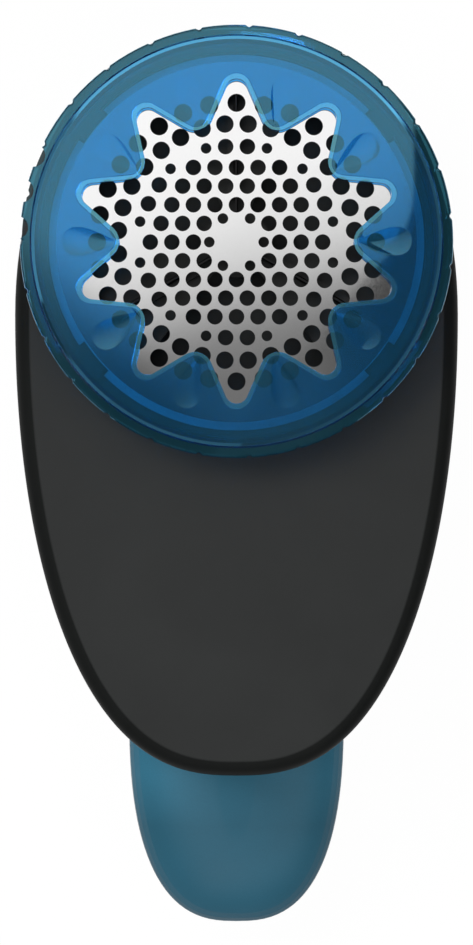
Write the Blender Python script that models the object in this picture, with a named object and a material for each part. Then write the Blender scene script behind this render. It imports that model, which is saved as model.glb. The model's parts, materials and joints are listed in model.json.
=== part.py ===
"""A battery fabric shaver that lies on its back, with its foil facing up.

Metres, +Z up. The head is towards +Y and the handle's end towards -Y. The origin is on the
surface that the shaver lies on, below the middle of its length.
"""

import math

import bmesh
import bpy
from mathutils import Matrix, Vector

MM = 0.001
GAP = 0.3 * MM

# Overall sizes
OVERALL_LENGTH = 159.7 * MM
SPLIT_Z = 26.0 * MM
FACE_Z = 48.0 * MM
WALL = 2.0 * MM

# Guard and height ring
RING_RADIUS = 37.7 * MM
RING_WALL = 1.75 * MM
RING_HEIGHT = 9.1 * MM
RING_CHAMFER = 0.5 * MM
RING_FOOT_HEIGHT = 1.3 * MM
GRIP_GROOVES = 27
GRIP_GROOVE_WIDTH = 1.3 * MM
GRIP_GROOVE_DEPTH = 0.34 * MM
# A groove's section: shares of its half-width and of its depth
GRIP_GROOVE_SHAPE = ((-1.0, 0.0), (-0.45, 1.0), (0.45, 1.0), (1.0, 0.0))
SCALLOP_RADIUS = 2.0 * MM
SCALLOP_DEPTH = 1.4 * MM
SCALLOP_ANGLES = (157.0, 166.7, 176.4)
GUARD_PLATE = 2.0 * MM
GUARD_SKIRT_DEPTH = 8.0 * MM
GUARD_SKIRT_WALL = 1.2 * MM
GUARD_LIFT = 2.0 * MM
HEIGHT_TURN = 20.0
GUARD_PROUD = 0.6 * MM
CAM_PIN_RADIUS = 0.7 * MM
CAM_PIN_LENGTH = 0.9 * MM
CAM_PINS = 3
CAM_START_ANGLE = 90.0
KEY_RIBS = 3
KEY_START_ANGLE = 30.0
KEY_RIB_WIDTH = 3.0 * MM
KEY_RIB_HEIGHT = 3.0 * MM
KEY_RIB_PROUD = 0.9 * MM

# Star opening: the corners are where its straight flanks would meet
STAR_TIPS = 10
STAR_TIP_CORNER = 31.25 * MM
STAR_VALLEY_CORNER = 18.8 * MM
STAR_TIP_ROUND = 2.0 * MM
STAR_VALLEY_ROUND = 3.15 * MM
STAR_LIP = 0.75 * MM
# Shares of the bevel that the rounds grow by at the tips and shrink by in the valleys
TIP_GROWTH = 0.8
VALLEY_SHRINK = 1.5
STAR_LIP_DROP = 0.4 * MM
GUARD_EDGE_DROP = 0.2 * MM
DIMPLE_RADIUS = 25.9 * MM
DIMPLE_LENGTH = 9.2 * MM
DIMPLE_WIDTH = 4.4 * MM
DIMPLE_DEPTH = 0.08 * MM
# How much wider than its middle each petal is at its outer end, as a share
DIMPLE_TAPER = 0.6

# Foil
FOIL_THICKNESS = 0.25 * MM
FOIL_TOP_BELOW_GUARD = 1.75 * MM
LATTICE_PITCH = 3.76 * MM
LATTICE_HOLE = 2.75 * MM
SMALL_HOLE = 1.88 * MM
INNER_SMALL_CIRCLE = 4.75 * MM
CORNER_HOLE_CIRCLE = 16.77 * MM
CORNER_SMALL_CIRCLE = 17.2 * MM
RING_HOLES = 32
RING_A_CIRCLE = 20.7 * MM
RING_A_HOLE = 3.08 * MM
RING_B_CIRCLE = 24.3 * MM
RING_B_HOLE = 3.18 * MM
LATTICE_RINGS = 4
CORNER_HOLE_SPREAD = 6.5
CORNER_SMALL_SPREAD = 12.0

# Foil frame and blade chamber
FRAME_OVERHANG = 0.2 * MM
FRAME_WIDTH = 1.9 * MM
FRAME_HEIGHT = 3.2 * MM
FRAME_FLANGE_HEIGHT = 1.4 * MM
FRAME_FLANGE_PROUD = 1.2 * MM
BAYONET_ANGLES = (39.0, 141.0, 219.0, 321.0)
BAYONET_WIDTH = 12.0
BAYONET_PLAY = 2.0
CHAMBER_WALL = 1.0 * MM
CHAMBER_FLOOR = 1.5 * MM
CHAMBER_DEPTH = 8.5 * MM
CHAMBER_FLANGE = 0.5 * MM
CHAMBER_FLANGE_HEIGHT = 1.5 * MM
CHUTE_LENGTH = 9.0 * MM
CHUTE_WIDTH = 18.0 * MM
CHUTE_CLEARANCE = 2.3 * MM
CHUTE_WALL = 1.2 * MM

# Rotor
SHAFT_RADIUS = 1.15 * MM
BLADES = 3
BLADE_START_ANGLE = 90.0
BLADE_TIP_CLEARANCE = 1.7 * MM
BLADE_ROOT_RADIUS = 4.0 * MM
BLADE_THICKNESS = 0.5 * MM
BLADE_HEIGHT = 3.3 * MM
CARRIER_HUB_RADIUS = 6.0 * MM
CARRIER_HUB_HEIGHT = 3.0 * MM
# Degrees that each arm takes up
CARRIER_ARM_WIDTH = 44
CARRIER_ARM_HEIGHT = 1.5 * MM
DRIVE_NECK_RADIUS = 2.6 * MM
DRIVE_FLANGE_RADIUS = 4.6 * MM
DRIVE_FLANGE_HEIGHT = 0.8 * MM
BLADE_SPRING_CURLS = 2.5
BLADE_SPRING_WIRE = 0.6 * MM

# Motor
MOTOR_RADIUS = 12.2 * MM
MOTOR_LENGTH = 27.4 * MM
MOTOR_BOSS_RADIUS = 3.0 * MM
MOTOR_BOSS_HEIGHT = 1.2 * MM
MOTOR_CAP_RADIUS = 11.8 * MM
MOTOR_CAP_HEIGHT = 2.0 * MM
MOTOR_SCREW_CIRCLE = 8.5 * MM
MOTOR_SCREW_RADIUS = 1.1 * MM
MOTOR_TAB_OFFSET = 6.0 * MM
MOTOR_EDGE = 1.0 * MM
MOTOR_SCREW_HEAD = (2.2 * MM, 1.0 * MM)

# Front shell outline: half an egg each way from its widest line
EGG_PAST_RING = 1.38 * MM
EGG_WIDEST_BELOW_HEAD = 12.35 * MM
EGG_TIP_LENGTH = 81.35 * MM
EGG_TIP_EXPONENTS = (2.55, 2.08)
EGG_TOP_EXPONENTS = (2.55, 2.04)
FACE_ROUND = 3.0 * MM

# Back shell outline
REVEAL = 0.5 * MM
HANDLE_HALF_WIDTH = 19.6 * MM
HANDLE_END_LENGTH = 39.5 * MM
HANDLE_END_EXPONENT = 2.63
BACK_ROUND_IN = 11.0 * MM
BACK_ROUND_UP = 14.0 * MM
CROWN_IN = 16.0 * MM
CROWN_DROP = 8.0 * MM
CROWN_START = 6.35 * MM
CROWN_END = 47.35 * MM
RIM_ROUND = 0.8 * MM
ARCH_LENGTH = 52.0 * MM
ARCH_DEPTH = 2.0 * MM

# Screws
SCREW_RADIUS = 1.4 * MM
SCREW_HEAD_RADIUS = 2.7 * MM
SCREW_HEAD_HEIGHT = 2.0 * MM
SCREW_BORE_DEPTH = 7.0 * MM
SCREW_LENGTH = 29.0 * MM
BOSS_WALL = 1.6 * MM
LOWER_SCREWS = (22.0 * MM, 8.0 * MM)
UPPER_SCREW_CLEARANCE = 2.75 * MM
UPPER_SCREW_ANGLE = 31.2

# Chassis plate
CHASSIS_THICKNESS = 2.0 * MM

# Battery bay
CELL_RADIUS = 7.25 * MM
CELL_LENGTH = 49.5 * MM
CELL_EDGE = 0.6 * MM
CELL_NUB_RADIUS = 2.7 * MM
CELL_NUB_LENGTH = 1.0 * MM
CELL_Z = 10.8 * MM
BAY_FROM_END = 16.35 * MM
CONTACT_THICKNESS = 0.4 * MM
CONTACT_WIDTH = 9.0 * MM
CONTACT_SPRING_LENGTH = 3.2 * MM
CONTACT_SPRING_WIRE = 0.5 * MM
CONTACT_SPRING_CURLS = 2.5
CONTACT_SPRING_WIDE = 3.8 * MM
CONTACT_SPRING_NARROW = 2.25 * MM
TRAY_WALL = 1.2 * MM
TRAY_HALF_WIDTH = 12.8 * MM
TRAY_POST = 3.0 * MM
DOOR_HEIGHT = 9.0 * MM
DOOR_CLEARANCE = 1.0 * MM

# Lint bin
BIN_WIDTH = 33.0 * MM
BIN_CLEARANCE = 2.95 * MM
BIN_WALL = 1.5 * MM
BIN_DEPTH = 13.9 * MM
BIN_FLOOR_Z = 4.3 * MM
SCOOP_RADIUS = 5.0 * MM
SCOOP_WIDTH = 20.0 * MM
SCOOP_DEPTH = 2.1 * MM
RAIL_WIDTH = 1.0 * MM
RAIL_HEIGHT = 10.0 * MM
RAIL_LENGTH = 14.0 * MM

# Switch
SWITCH_TRAVEL = 5.0 * MM
SWITCH_PAD = (10.0 * MM, 11.0 * MM, 1.0 * MM)
SWITCH_PAD_RECESS = 0.5 * MM
SWITCH_STEM = 4.0 * MM
SWITCH_BODY = (14.0 * MM, 20.0 * MM, 6.0 * MM)

# Wires
WIRE_RADIUS = 0.6 * MM

# Smoothness
OUTLINE_STEPS = 8
ROUND_STEPS = 3
CIRCLE_STEPS = 48
SMALL_CIRCLE_STEPS = 16
ARCH_STEPS = 10
SCREW_STEPS = 12
PIN_STEPS = 8
CELL_STEPS = 20
TIP_STEPS = 5
VALLEY_STEPS = 4
DIMPLE_STEPS = (10, 6)
GROOVE_STEPS = 4
CURL_STEPS = 9
WIRE_STEPS = 4
LARGE_HOLE_STEPS = 8
SMALL_HOLE_STEPS = 6
SHARP_ANGLE = 35.0

# Places that follow from the sizes above
HALF_LENGTH = OVERALL_LENGTH / 2
EGG_HALF_WIDTH = RING_RADIUS + EGG_PAST_RING
HEAD_Y = HALF_LENGTH - RING_RADIUS
HANDLE_WIDEST_Y = HANDLE_END_LENGTH - HALF_LENGTH
EGG_WIDEST_Y = HEAD_Y - EGG_WIDEST_BELOW_HEAD
EGG_TOP_LENGTH = HALF_LENGTH - EGG_WIDEST_Y
EGG_TIP_Y = EGG_WIDEST_Y - EGG_TIP_LENGTH
CROWN_START_Y = EGG_TIP_Y + CROWN_START
CROWN_END_Y = EGG_TIP_Y + CROWN_END
RING_FOOT_Z = FACE_Z + GAP
RING_TOP_Z = RING_FOOT_Z + RING_HEIGHT
RING_BORE = RING_RADIUS - RING_WALL
GUARD_TOP_Z = RING_TOP_Z + GUARD_PROUD
GUARD_UNDER_Z = GUARD_TOP_Z - GUARD_PLATE
GUARD_RADIUS = RING_BORE - GAP
SKIRT_FOOT_Z = GUARD_TOP_Z - GUARD_SKIRT_DEPTH
COLLAR_RADIUS = GUARD_RADIUS - GUARD_SKIRT_WALL - GAP
COLLAR_BORE = COLLAR_RADIUS - CHAMBER_WALL
FRAME_FLANGE_RADIUS = COLLAR_BORE - GAP
FRAME_RADIUS = FRAME_FLANGE_RADIUS - FRAME_FLANGE_PROUD
FRAME_BORE = FRAME_RADIUS - FRAME_WIDTH
FOIL_RADIUS = FRAME_RADIUS - FRAME_OVERHANG
BLADE_TIP_RADIUS = FRAME_BORE - BLADE_TIP_CLEARANCE
SKIRT_BORE = COLLAR_RADIUS + GAP
FACE_HOLE = COLLAR_RADIUS + GAP
FOIL_TOP_Z = GUARD_UNDER_Z - FOIL_TOP_BELOW_GUARD
FOIL_UNDER_Z = FOIL_TOP_Z - FOIL_THICKNESS
FRAME_TOP_Z = FOIL_UNDER_Z - GAP
FRAME_FOOT_Z = FRAME_TOP_Z - FRAME_HEIGHT
COLLAR_TOP_Z = FRAME_TOP_Z - GAP
LEDGE_Z = FRAME_FOOT_Z - GAP
LEDGE_BORE = FRAME_BORE + CHAMBER_WALL
CHAMBER_INSIDE_Z = LEDGE_Z - CHAMBER_DEPTH
CHAMBER_UNDER_Z = CHAMBER_INSIDE_Z - CHAMBER_FLOOR
CHAMBER_FLANGE_Z = FACE_Z - WALL - GAP
BLADE_TOP_Z = FOIL_UNDER_Z - GAP
BLADE_FOOT_Z = BLADE_TOP_Z - BLADE_HEIGHT
CARRIER_ARM_TOP_Z = BLADE_FOOT_Z - GAP
CARRIER_ARM_FOOT_Z = CARRIER_ARM_TOP_Z - CARRIER_ARM_HEIGHT
CARRIER_HUB_FOOT_Z = CARRIER_ARM_TOP_Z - CARRIER_HUB_HEIGHT
DRIVE_FOOT_Z = CHAMBER_INSIDE_Z + 2 * GAP
DRIVE_TOP_Z = CARRIER_ARM_TOP_Z
SHAFT_TOP_Z = DRIVE_TOP_Z
MOTOR_TOP_Z = CHAMBER_UNDER_Z - GAP
MOTOR_UNDER_Z = MOTOR_TOP_Z - MOTOR_LENGTH
SHAFT_FOOT_Z = MOTOR_TOP_Z - MOTOR_LENGTH / 3
MOTOR_CAP_TOP_Z = MOTOR_UNDER_Z - GAP
MOTOR_CAP_UNDER_Z = MOTOR_CAP_TOP_Z - MOTOR_CAP_HEIGHT
CHASSIS_Z = SPLIT_Z + GAP
CHASSIS_TOP_Z = CHASSIS_Z + CHASSIS_THICKNESS
CHUTE_Y = HEAD_Y + LEDGE_BORE - CHUTE_CLEARANCE - CHUTE_LENGTH / 2
BIN_BACK_Y = HEAD_Y + MOTOR_RADIUS + BIN_CLEARANCE
UPPER_SCREW_CIRCLE = COLLAR_RADIUS - UPPER_SCREW_CLEARANCE - SCREW_RADIUS - GAP - BOSS_WALL
UPPER_SCREWS = (
    UPPER_SCREW_CIRCLE * math.cos(math.radians(UPPER_SCREW_ANGLE)),
    HEAD_Y + UPPER_SCREW_CIRCLE * math.sin(math.radians(UPPER_SCREW_ANGLE)),
)
BAY_FAR_Y = BAY_FROM_END - HALF_LENGTH
CELL_X = CELL_RADIUS + GAP / 2
BAY_NEAR_Y = BAY_FAR_Y + CONTACT_SPRING_LENGTH + CELL_LENGTH + CELL_NUB_LENGTH + 3 * GAP
TRAY_TOP_Z = CELL_Z + CELL_RADIUS + GAP + TRAY_WALL
TRAY_NEAR_Y = BAY_NEAR_Y + CONTACT_THICKNESS + GAP + TRAY_WALL
TRAY_FAR_Y = BAY_FAR_Y - CONTACT_THICKNESS - GAP - TRAY_WALL
DOOR_END_Y = TRAY_NEAR_Y + DOOR_CLEARANCE
ARCH_CENTRE_Y = (TRAY_NEAR_Y + HEAD_Y - MOTOR_RADIUS) / 2
SWITCH_Y = ARCH_CENTRE_Y - SWITCH_TRAVEL / 2
SWITCH_TOP_Z = ARCH_DEPTH + WALL + GAP + SWITCH_BODY[2]
HEAD = Vector((0.0, HEAD_Y, 0.0))

COLOURS = {
    "charcoal": ((0.034, 0.036, 0.035), 0.55, 0.0),
    "black": ((0.012, 0.012, 0.012), 0.5, 0.0),
    "teal": ((0.036, 0.147, 0.216), 0.45, 0.0),
    "clear_blue": ((0.045, 0.235, 0.54), 0.1, 0.0),
    "foil_steel": ((0.78, 0.78, 0.78), 0.25, 1.0),
    "blade_steel": ((0.06, 0.06, 0.062), 0.3, 1.0),
    "zinc": ((0.55, 0.55, 0.57), 0.35, 1.0),
    "frame_grey": ((0.6, 0.62, 0.64), 0.4, 0.0),
    "brass": ((0.62, 0.45, 0.2), 0.35, 1.0),
    "cell_green": ((0.04, 0.2, 0.09), 0.35, 0.0),
    "wire_red": ((0.5, 0.02, 0.015), 0.4, 0.0),
    "wire_black": ((0.015, 0.015, 0.015), 0.4, 0.0),
    "spring_steel": ((0.6, 0.6, 0.62), 0.3, 1.0),
    "rubber_grey": ((0.09, 0.1, 0.1), 0.8, 0.0),
}


def clear_scene():
    for item in list(bpy.data.objects):
        bpy.data.objects.remove(item, do_unlink=True)


def material(name):
    """The Principled material of this name, made once."""
    found = bpy.data.materials.get(name)
    if found:
        return found
    colour, roughness, metallic = COLOURS[name]
    made = bpy.data.materials.new(name)
    made.use_nodes = True
    shader = made.node_tree.nodes["Principled BSDF"]
    shader.inputs["Base Color"].default_value = (*colour, 1.0)
    shader.inputs["Roughness"].default_value = roughness
    shader.inputs["Metallic"].default_value = metallic
    made.diffuse_color = (*colour, 1.0)
    return made


def add_object(name, bm, finish, origin=None):
    """A named object from a bmesh in world places, with its origin moved to a joint's axis."""
    bmesh.ops.recalc_face_normals(bm, faces=bm.faces)
    mesh = bpy.data.meshes.new(name)
    if origin is not None:
        bmesh.ops.translate(bm, vec=-origin, verts=bm.verts)
    bm.to_mesh(mesh)
    bm.free()
    made = bpy.data.objects.new(name, mesh)
    if origin is not None:
        made.location = origin
    bpy.context.scene.collection.objects.link(made)
    if finish:
        mesh.materials.append(material(finish))
    mesh.shade_smooth()
    mesh.set_sharp_from_angle(angle=math.radians(SHARP_ANGLE))
    return made


def add_tool(name, bm):
    """A cutter or an added body that only shapes another object."""
    tool = add_object(name, bm, None)
    tool.hide_render = True
    tool.display_type = "WIRE"
    return tool


def combine(target, tool, operation):
    step = target.modifiers.new(tool.name, "BOOLEAN")
    step.operation = operation
    step.solver = "EXACT"
    step.object = tool


def cut(target, name, bm):
    combine(target, add_tool(name, bm), "DIFFERENCE")


def join(target, name, bm):
    tool = add_tool(name, bm)
    combine(target, tool, "UNION")
    return tool


def keep(target, name, bm):
    combine(target, add_tool(name, bm), "INTERSECT")


def circle(radius, z, steps=CIRCLE_STEPS, centre=HEAD):
    """Points round a circle that lies flat."""
    points = []
    for step in range(steps):
        t = 2 * math.pi * step / steps
        points.append(Vector((centre.x + radius * math.cos(t), centre.y + radius * math.sin(t), z)))
    return points


def add_loop(bm, points):
    return [bm.verts.new(point) for point in points]


def join_loops(bm, first, second):
    """Quads between two closed loops with the same number of points."""
    count = len(first)
    for step in range(count):
        after = (step + 1) % count
        bm.faces.new((first[step], first[after], second[after], second[step]))


def fill_between(bm, *loops):
    """Triangles over the flat area that an outer loop and the loops inside it enclose."""
    edges = []
    for loop in loops:
        for step, vertex in enumerate(loop):
            after = loop[(step + 1) % len(loop)]
            edge = bm.edges.get((vertex, after)) or bm.edges.new((vertex, after))
            edges.append(edge)
    bmesh.ops.triangle_fill(bm, edges=edges, use_beauty=True, use_dissolve=False)


def loft(rings):
    """A closed body through rings of points, with flat ends."""
    bm = bmesh.new()
    loops = [add_loop(bm, ring) for ring in rings]
    for lower, upper in zip(loops, loops[1:]):
        join_loops(bm, lower, upper)
    bm.faces.new(reversed(loops[0]))
    bm.faces.new(loops[-1])
    return bm


def turned(profile, steps=CIRCLE_STEPS, centre=HEAD):
    """A ring-shaped body: a closed profile of (radius, z) turned about an upright axis."""
    bm = bmesh.new()
    loops = [add_loop(bm, circle(radius, z, steps, centre)) for radius, z in profile]
    for first, second in zip(loops, loops[1:] + loops[:1]):
        join_loops(bm, first, second)
    return bm


def stacked(profile, steps=SMALL_CIRCLE_STEPS, centre=HEAD):
    """A solid round body: an open profile of (radius, z), capped at both ends."""
    return loft([circle(radius, z, steps, centre) for radius, z in profile])


def block(low, high):
    bm = bmesh.new()
    size = Vector(high) - Vector(low)
    middle = (Vector(high) + Vector(low)) / 2
    bmesh.ops.create_cube(bm, size=1.0, matrix=Matrix.Translation(middle) @ Matrix.Diagonal((*size, 1.0)))
    return bm


def merged(parts):
    """Several bodies that don't meet, in one bmesh."""
    whole = bmesh.new()
    for part in parts:
        mesh = bpy.data.meshes.new("merge")
        part.to_mesh(mesh)
        part.free()
        whole.from_mesh(mesh)
        bpy.data.meshes.remove(mesh)
    return whole


def rotated(bm, angle, centre=HEAD):
    """Turned by an angle in degrees about an upright axis."""
    bmesh.ops.rotate(bm, cent=centre, matrix=Matrix.Rotation(math.radians(angle), 3, "Z"), verts=bm.verts)
    return bm


def sides(place):
    """The two places at +x and at -x."""
    x, y = place
    return [Vector((side * x, y, 0.0)) for side in (1, -1)]


def both_sides(make, place):
    """The same body at +x and at -x, for a tool that cuts or joins both at once."""
    return merged([make(centre) for centre in sides(place)])


def both_pins(place, profile, steps=SMALL_CIRCLE_STEPS):
    """The same upright round body at +x and at -x."""
    return both_sides(lambda centre: stacked(profile, steps, centre), place)


def add_each(name, bodies, finish):
    """One numbered object for each body."""
    for number, body in enumerate(bodies, 1):
        add_object(f"{name}_{number}", body, finish)


def smooth_step(value):
    value = min(1.0, max(0.0, value))
    return value * value * (3 - 2 * value)


def quarter(half_width, length, exponents, steps):
    """Points (x, distance along y) from the widest point to the end, both left in."""
    points = []
    for step in range(steps + 1):
        t = math.pi / 2 * step / steps
        x = half_width * math.cos(t) ** (2 / exponents[0]) if step < steps else 0.0
        points.append((x, length * math.sin(t) ** (2 / exponents[1])))
    return points


def egg_width(y, inset=0.0):
    """The egg's half-width at a place below its widest line."""
    reach = min(1.0, (EGG_WIDEST_Y - y) / (EGG_TIP_LENGTH - inset))
    return (EGG_HALF_WIDTH - inset) * (1 - reach ** EGG_TIP_EXPONENTS[1]) ** (1 / EGG_TIP_EXPONENTS[0])


def mirrored(right, z_of):
    """A closed outline from its right half, which runs from the -Y end to the +Y end."""
    left = [(-x, y) for x, y in reversed(right[1:-1])]
    return [Vector((x, y, z_of(y))) for x, y in right + left]


def egg(z, inset=0.0):
    """The front shell's outline at one height."""
    tip = quarter(EGG_HALF_WIDTH - inset, EGG_TIP_LENGTH - inset, EGG_TIP_EXPONENTS, 2 * OUTLINE_STEPS)
    top = quarter(EGG_HALF_WIDTH - inset, EGG_TOP_LENGTH - inset, EGG_TOP_EXPONENTS, OUTLINE_STEPS)
    right = [(x, EGG_WIDEST_Y - along) for x, along in reversed(tip)]
    right += [(x, EGG_WIDEST_Y + along) for x, along in top[1:]]
    return mirrored(right, lambda y: z)


def body_width(y, inset=0.0):
    """The back shell's half-width between its two ends: the handle flares into the egg."""
    flare = smooth_step((y - HANDLE_WIDEST_Y) / (EGG_WIDEST_Y - HANDLE_WIDEST_Y))
    return HANDLE_HALF_WIDTH + (egg_width(y) - REVEAL - HANDLE_HALF_WIDTH) * flare - inset


def crown(y):
    """How far the back shell's top edge is rounded in, and down, at a place along it."""
    share = 1 - smooth_step((y - CROWN_START_Y) / (CROWN_END_Y - CROWN_START_Y))
    return (
        RIM_ROUND + (CROWN_IN - RIM_ROUND) * share,
        RIM_ROUND + (CROWN_DROP - RIM_ROUND) * share,
    )


def body_outline(z_of, inset_of):
    """The back shell's outline, where height and inset may change along its length."""
    end_inset = inset_of(-HALF_LENGTH)
    top_inset = inset_of(HALF_LENGTH)
    exponents = (HANDLE_END_EXPONENT, HANDLE_END_EXPONENT)
    end = quarter(HANDLE_HALF_WIDTH - end_inset, HANDLE_END_LENGTH - end_inset, exponents, OUTLINE_STEPS)
    shrink = REVEAL + top_inset
    top = quarter(EGG_HALF_WIDTH - shrink, EGG_TOP_LENGTH - shrink, EGG_TOP_EXPONENTS, OUTLINE_STEPS)
    right = [(x, HANDLE_WIDEST_Y - along) for x, along in reversed(end)]
    for step in range(1, OUTLINE_STEPS):
        y = HANDLE_WIDEST_Y + (EGG_WIDEST_Y - HANDLE_WIDEST_Y) * step / OUTLINE_STEPS
        right.append((body_width(y, inset_of(y)), y))
    right += [(x, EGG_WIDEST_Y + along) for x, along in top]
    return mirrored(right, z_of)


def body_rings(wall=0.0):
    """The back shell's outer form, or its inside when a wall is given."""
    rings = []
    for step in range(ROUND_STEPS + 1):
        t = math.pi / 2 * step / ROUND_STEPS
        z = wall + (BACK_ROUND_UP - wall) * (1 - math.cos(t))
        inset = wall + (BACK_ROUND_IN - wall / 2) * (1 - math.sin(t))
        rings.append(body_outline(lambda y, z=z: z, lambda y, inset=inset: inset))
    for step in range(ROUND_STEPS + 1):
        t = math.pi / 2 * step / ROUND_STEPS
        down = 1 - math.sin(t)
        back = 1 - math.cos(t)
        rings.append(body_outline(
            lambda y, down=down: SPLIT_Z - wall - crown(y)[1] * down,
            lambda y, back=back: wall + crown(y)[0] * back,
        ))
    return rings


def arch_cutter(raised=0.0):
    """A wide cylinder across the back, which leaves a shallow arch for the thumb."""
    half = ARCH_LENGTH / 2
    radius = (half * half + ARCH_DEPTH * ARCH_DEPTH) / (2 * ARCH_DEPTH)
    span = math.asin((half + WALL) / radius)
    bm = bmesh.new()
    loops = []
    for x in (-2 * EGG_HALF_WIDTH, 2 * EGG_HALF_WIDTH):
        points = []
        for step in range(ARCH_STEPS + 1):
            t = span * (2 * step / ARCH_STEPS - 1)
            rise = radius * math.cos(t) - radius + ARCH_DEPTH + raised
            points.append(Vector((x, ARCH_CENTRE_Y + radius * math.sin(t), rise)))
        points.append(Vector((x, points[-1].y, -BACK_ROUND_UP)))
        points.append(Vector((x, points[0].y, -BACK_ROUND_UP)))
        loops.append(add_loop(bm, points))
    join_loops(bm, loops[0], loops[1])
    bm.faces.new(reversed(loops[0]))
    bm.faces.new(loops[1])
    return bm


def body_solid():
    return loft(body_rings())


def keep_inside_wall(tool):
    """Ends an added body in the middle of the back shell's wall."""
    core = add_tool(f"{tool.name}_limit", loft(body_rings(WALL / 2)))
    cut(core, f"{tool.name}_limit_arch", arch_cutter(WALL / 2))
    combine(tool, core, "INTERSECT")


def body_inside():
    """The back shell's hollow, with its floor raised over the arch."""
    inside = loft(body_rings(WALL))
    hollow = add_object("body_inside", inside, None)
    cut(hollow, "inside_arch", arch_cutter(WALL))
    hollow.hide_render = True
    hollow.display_type = "WIRE"
    return hollow


def body_mouth():
    """The back shell's opening at its top, under the chassis plate."""
    far_y = CROWN_START_Y + WALL
    steps = 2 * OUTLINE_STEPS
    right = [(0.0, far_y)]
    for step in range(1, steps):
        y = far_y + (EGG_WIDEST_Y - far_y) * step / steps
        right.append((body_width(y, crown(y)[0] + WALL / 2 + RIM_ROUND), y))
    shrink = REVEAL + RIM_ROUND + WALL / 2 + RIM_ROUND
    top = quarter(EGG_HALF_WIDTH - shrink, EGG_TOP_LENGTH - shrink, EGG_TOP_EXPONENTS, OUTLINE_STEPS)
    right += [(x, EGG_WIDEST_Y + along) for x, along in top]
    return loft([mirrored(right, lambda y, z=z: z) for z in (SPLIT_Z - 2 * WALL, SPLIT_Z + WALL)])


def make_front_shell():
    rings = [egg(CHASSIS_Z)]
    for step in range(ROUND_STEPS + 1):
        t = math.pi / 2 * step / ROUND_STEPS
        z = FACE_Z - FACE_ROUND * (1 - math.sin(t))
        rings.append(egg(z, FACE_ROUND * (1 - math.cos(t))))
    shell = add_object("front_shell", loft(rings), "charcoal")
    inside = [egg(CHASSIS_Z - WALL, WALL), egg(FACE_Z - WALL - GAP, WALL), egg(FACE_Z - WALL, WALL + GAP)]
    cut(shell, "front_inside", loft(inside))
    hole = [(FACE_HOLE, FACE_Z - 2 * WALL), (FACE_HOLE, FACE_Z + WALL)]
    cut(shell, "face_hole", stacked(hole, CIRCLE_STEPS))
    radius = SCREW_RADIUS + GAP + BOSS_WALL
    foot = CHASSIS_TOP_Z + GAP
    head = FACE_Z - WALL / 2
    join(shell, "front_bosses", both_pins(LOWER_SCREWS, [(radius, foot), (radius, head)]))
    bore = SCREW_RADIUS + GAP
    deep = SCREW_BORE_DEPTH + SCREW_LENGTH + WALL
    cut(shell, "front_bores", both_pins(LOWER_SCREWS, [(bore, foot - WALL), (bore, deep)]))


def make_back_shell():
    shell = add_object("back_shell", body_solid(), "teal")
    cut(shell, "back_arch", arch_cutter())
    combine(shell, body_inside(), "DIFFERENCE")
    cut(shell, "back_mouth", body_mouth())
    far = (-2 * EGG_HALF_WIDTH, -2 * HALF_LENGTH, -WALL)
    near = (2 * EGG_HALF_WIDTH, DOOR_END_Y + GAP, DOOR_HEIGHT + GAP)
    cut(shell, "door_room", block(far, near))
    half = BIN_WIDTH / 2 + GAP
    low = (-half, BIN_BACK_Y - GAP, BIN_FLOOR_Z - GAP)
    cut(shell, "bin_mouth", block(low, (half, 2 * HALF_LENGTH, SPLIT_Z + WALL)))
    radius = SCREW_HEAD_RADIUS + GAP + BOSS_WALL / 2
    bore = SCREW_RADIUS + GAP
    head = SCREW_HEAD_RADIUS + GAP
    boss = [(radius, 0.0), (radius, SPLIT_Z - RIM_ROUND)]
    room = [(head, -WALL), (head, SCREW_BORE_DEPTH), (bore, SCREW_BORE_DEPTH), (bore, SPLIT_Z + WALL)]
    for name, place in (("lower", LOWER_SCREWS), ("upper", UPPER_SCREWS)):
        keep_inside_wall(join(shell, f"{name}_bosses", both_pins(place, boss)))
        cut(shell, f"{name}_bores", both_pins(place, room))
    rails = []
    for side in (1, -1):
        x = side * (BIN_WIDTH / 2 + GAP + RAIL_WIDTH / 2)
        low = (x - RAIL_WIDTH / 2, BIN_BACK_Y, 0.0)
        rails.append(block(low, (x + RAIL_WIDTH / 2, BIN_BACK_Y + RAIL_LENGTH, WALL + RAIL_HEIGHT)))
    high = (BIN_WIDTH / 4, BIN_BACK_Y + BIN_DEPTH, BIN_FLOOR_Z - GAP)
    rails.append(block((-BIN_WIDTH / 4, BIN_BACK_Y, 0.0), high))
    keep_inside_wall(join(shell, "bin_rails", merged(rails)))
    slot = SWITCH_STEM / 2 + GAP
    high = (slot, SWITCH_Y + SWITCH_TRAVEL + slot, ARCH_DEPTH + 2 * WALL)
    cut(shell, "switch_slot", block((-slot, SWITCH_Y - slot, -WALL), high))


def make_chassis_plate():
    inset = WALL + GAP
    plate = add_object("chassis_plate", loft([egg(CHASSIS_Z, inset), egg(CHASSIS_TOP_Z, inset)]), "black")
    low = CHASSIS_Z - WALL
    high = CHASSIS_TOP_Z + WALL
    motor = MOTOR_RADIUS + GAP
    cut(plate, "motor_hole", stacked([(motor, low), (motor, high)], CIRCLE_STEPS // 2))
    bore = SCREW_RADIUS + GAP
    for name, place in (("plate_lower", LOWER_SCREWS), ("plate_upper", UPPER_SCREWS)):
        cut(plate, name, both_pins(place, [(bore, low), (bore, high)]))
    half = CHUTE_WIDTH / 2 + GAP
    deep = CHUTE_LENGTH / 2 + GAP
    cut(plate, "chute_hole", block((-half, CHUTE_Y - deep, low), (half, CHUTE_Y + deep, high)))


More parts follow.
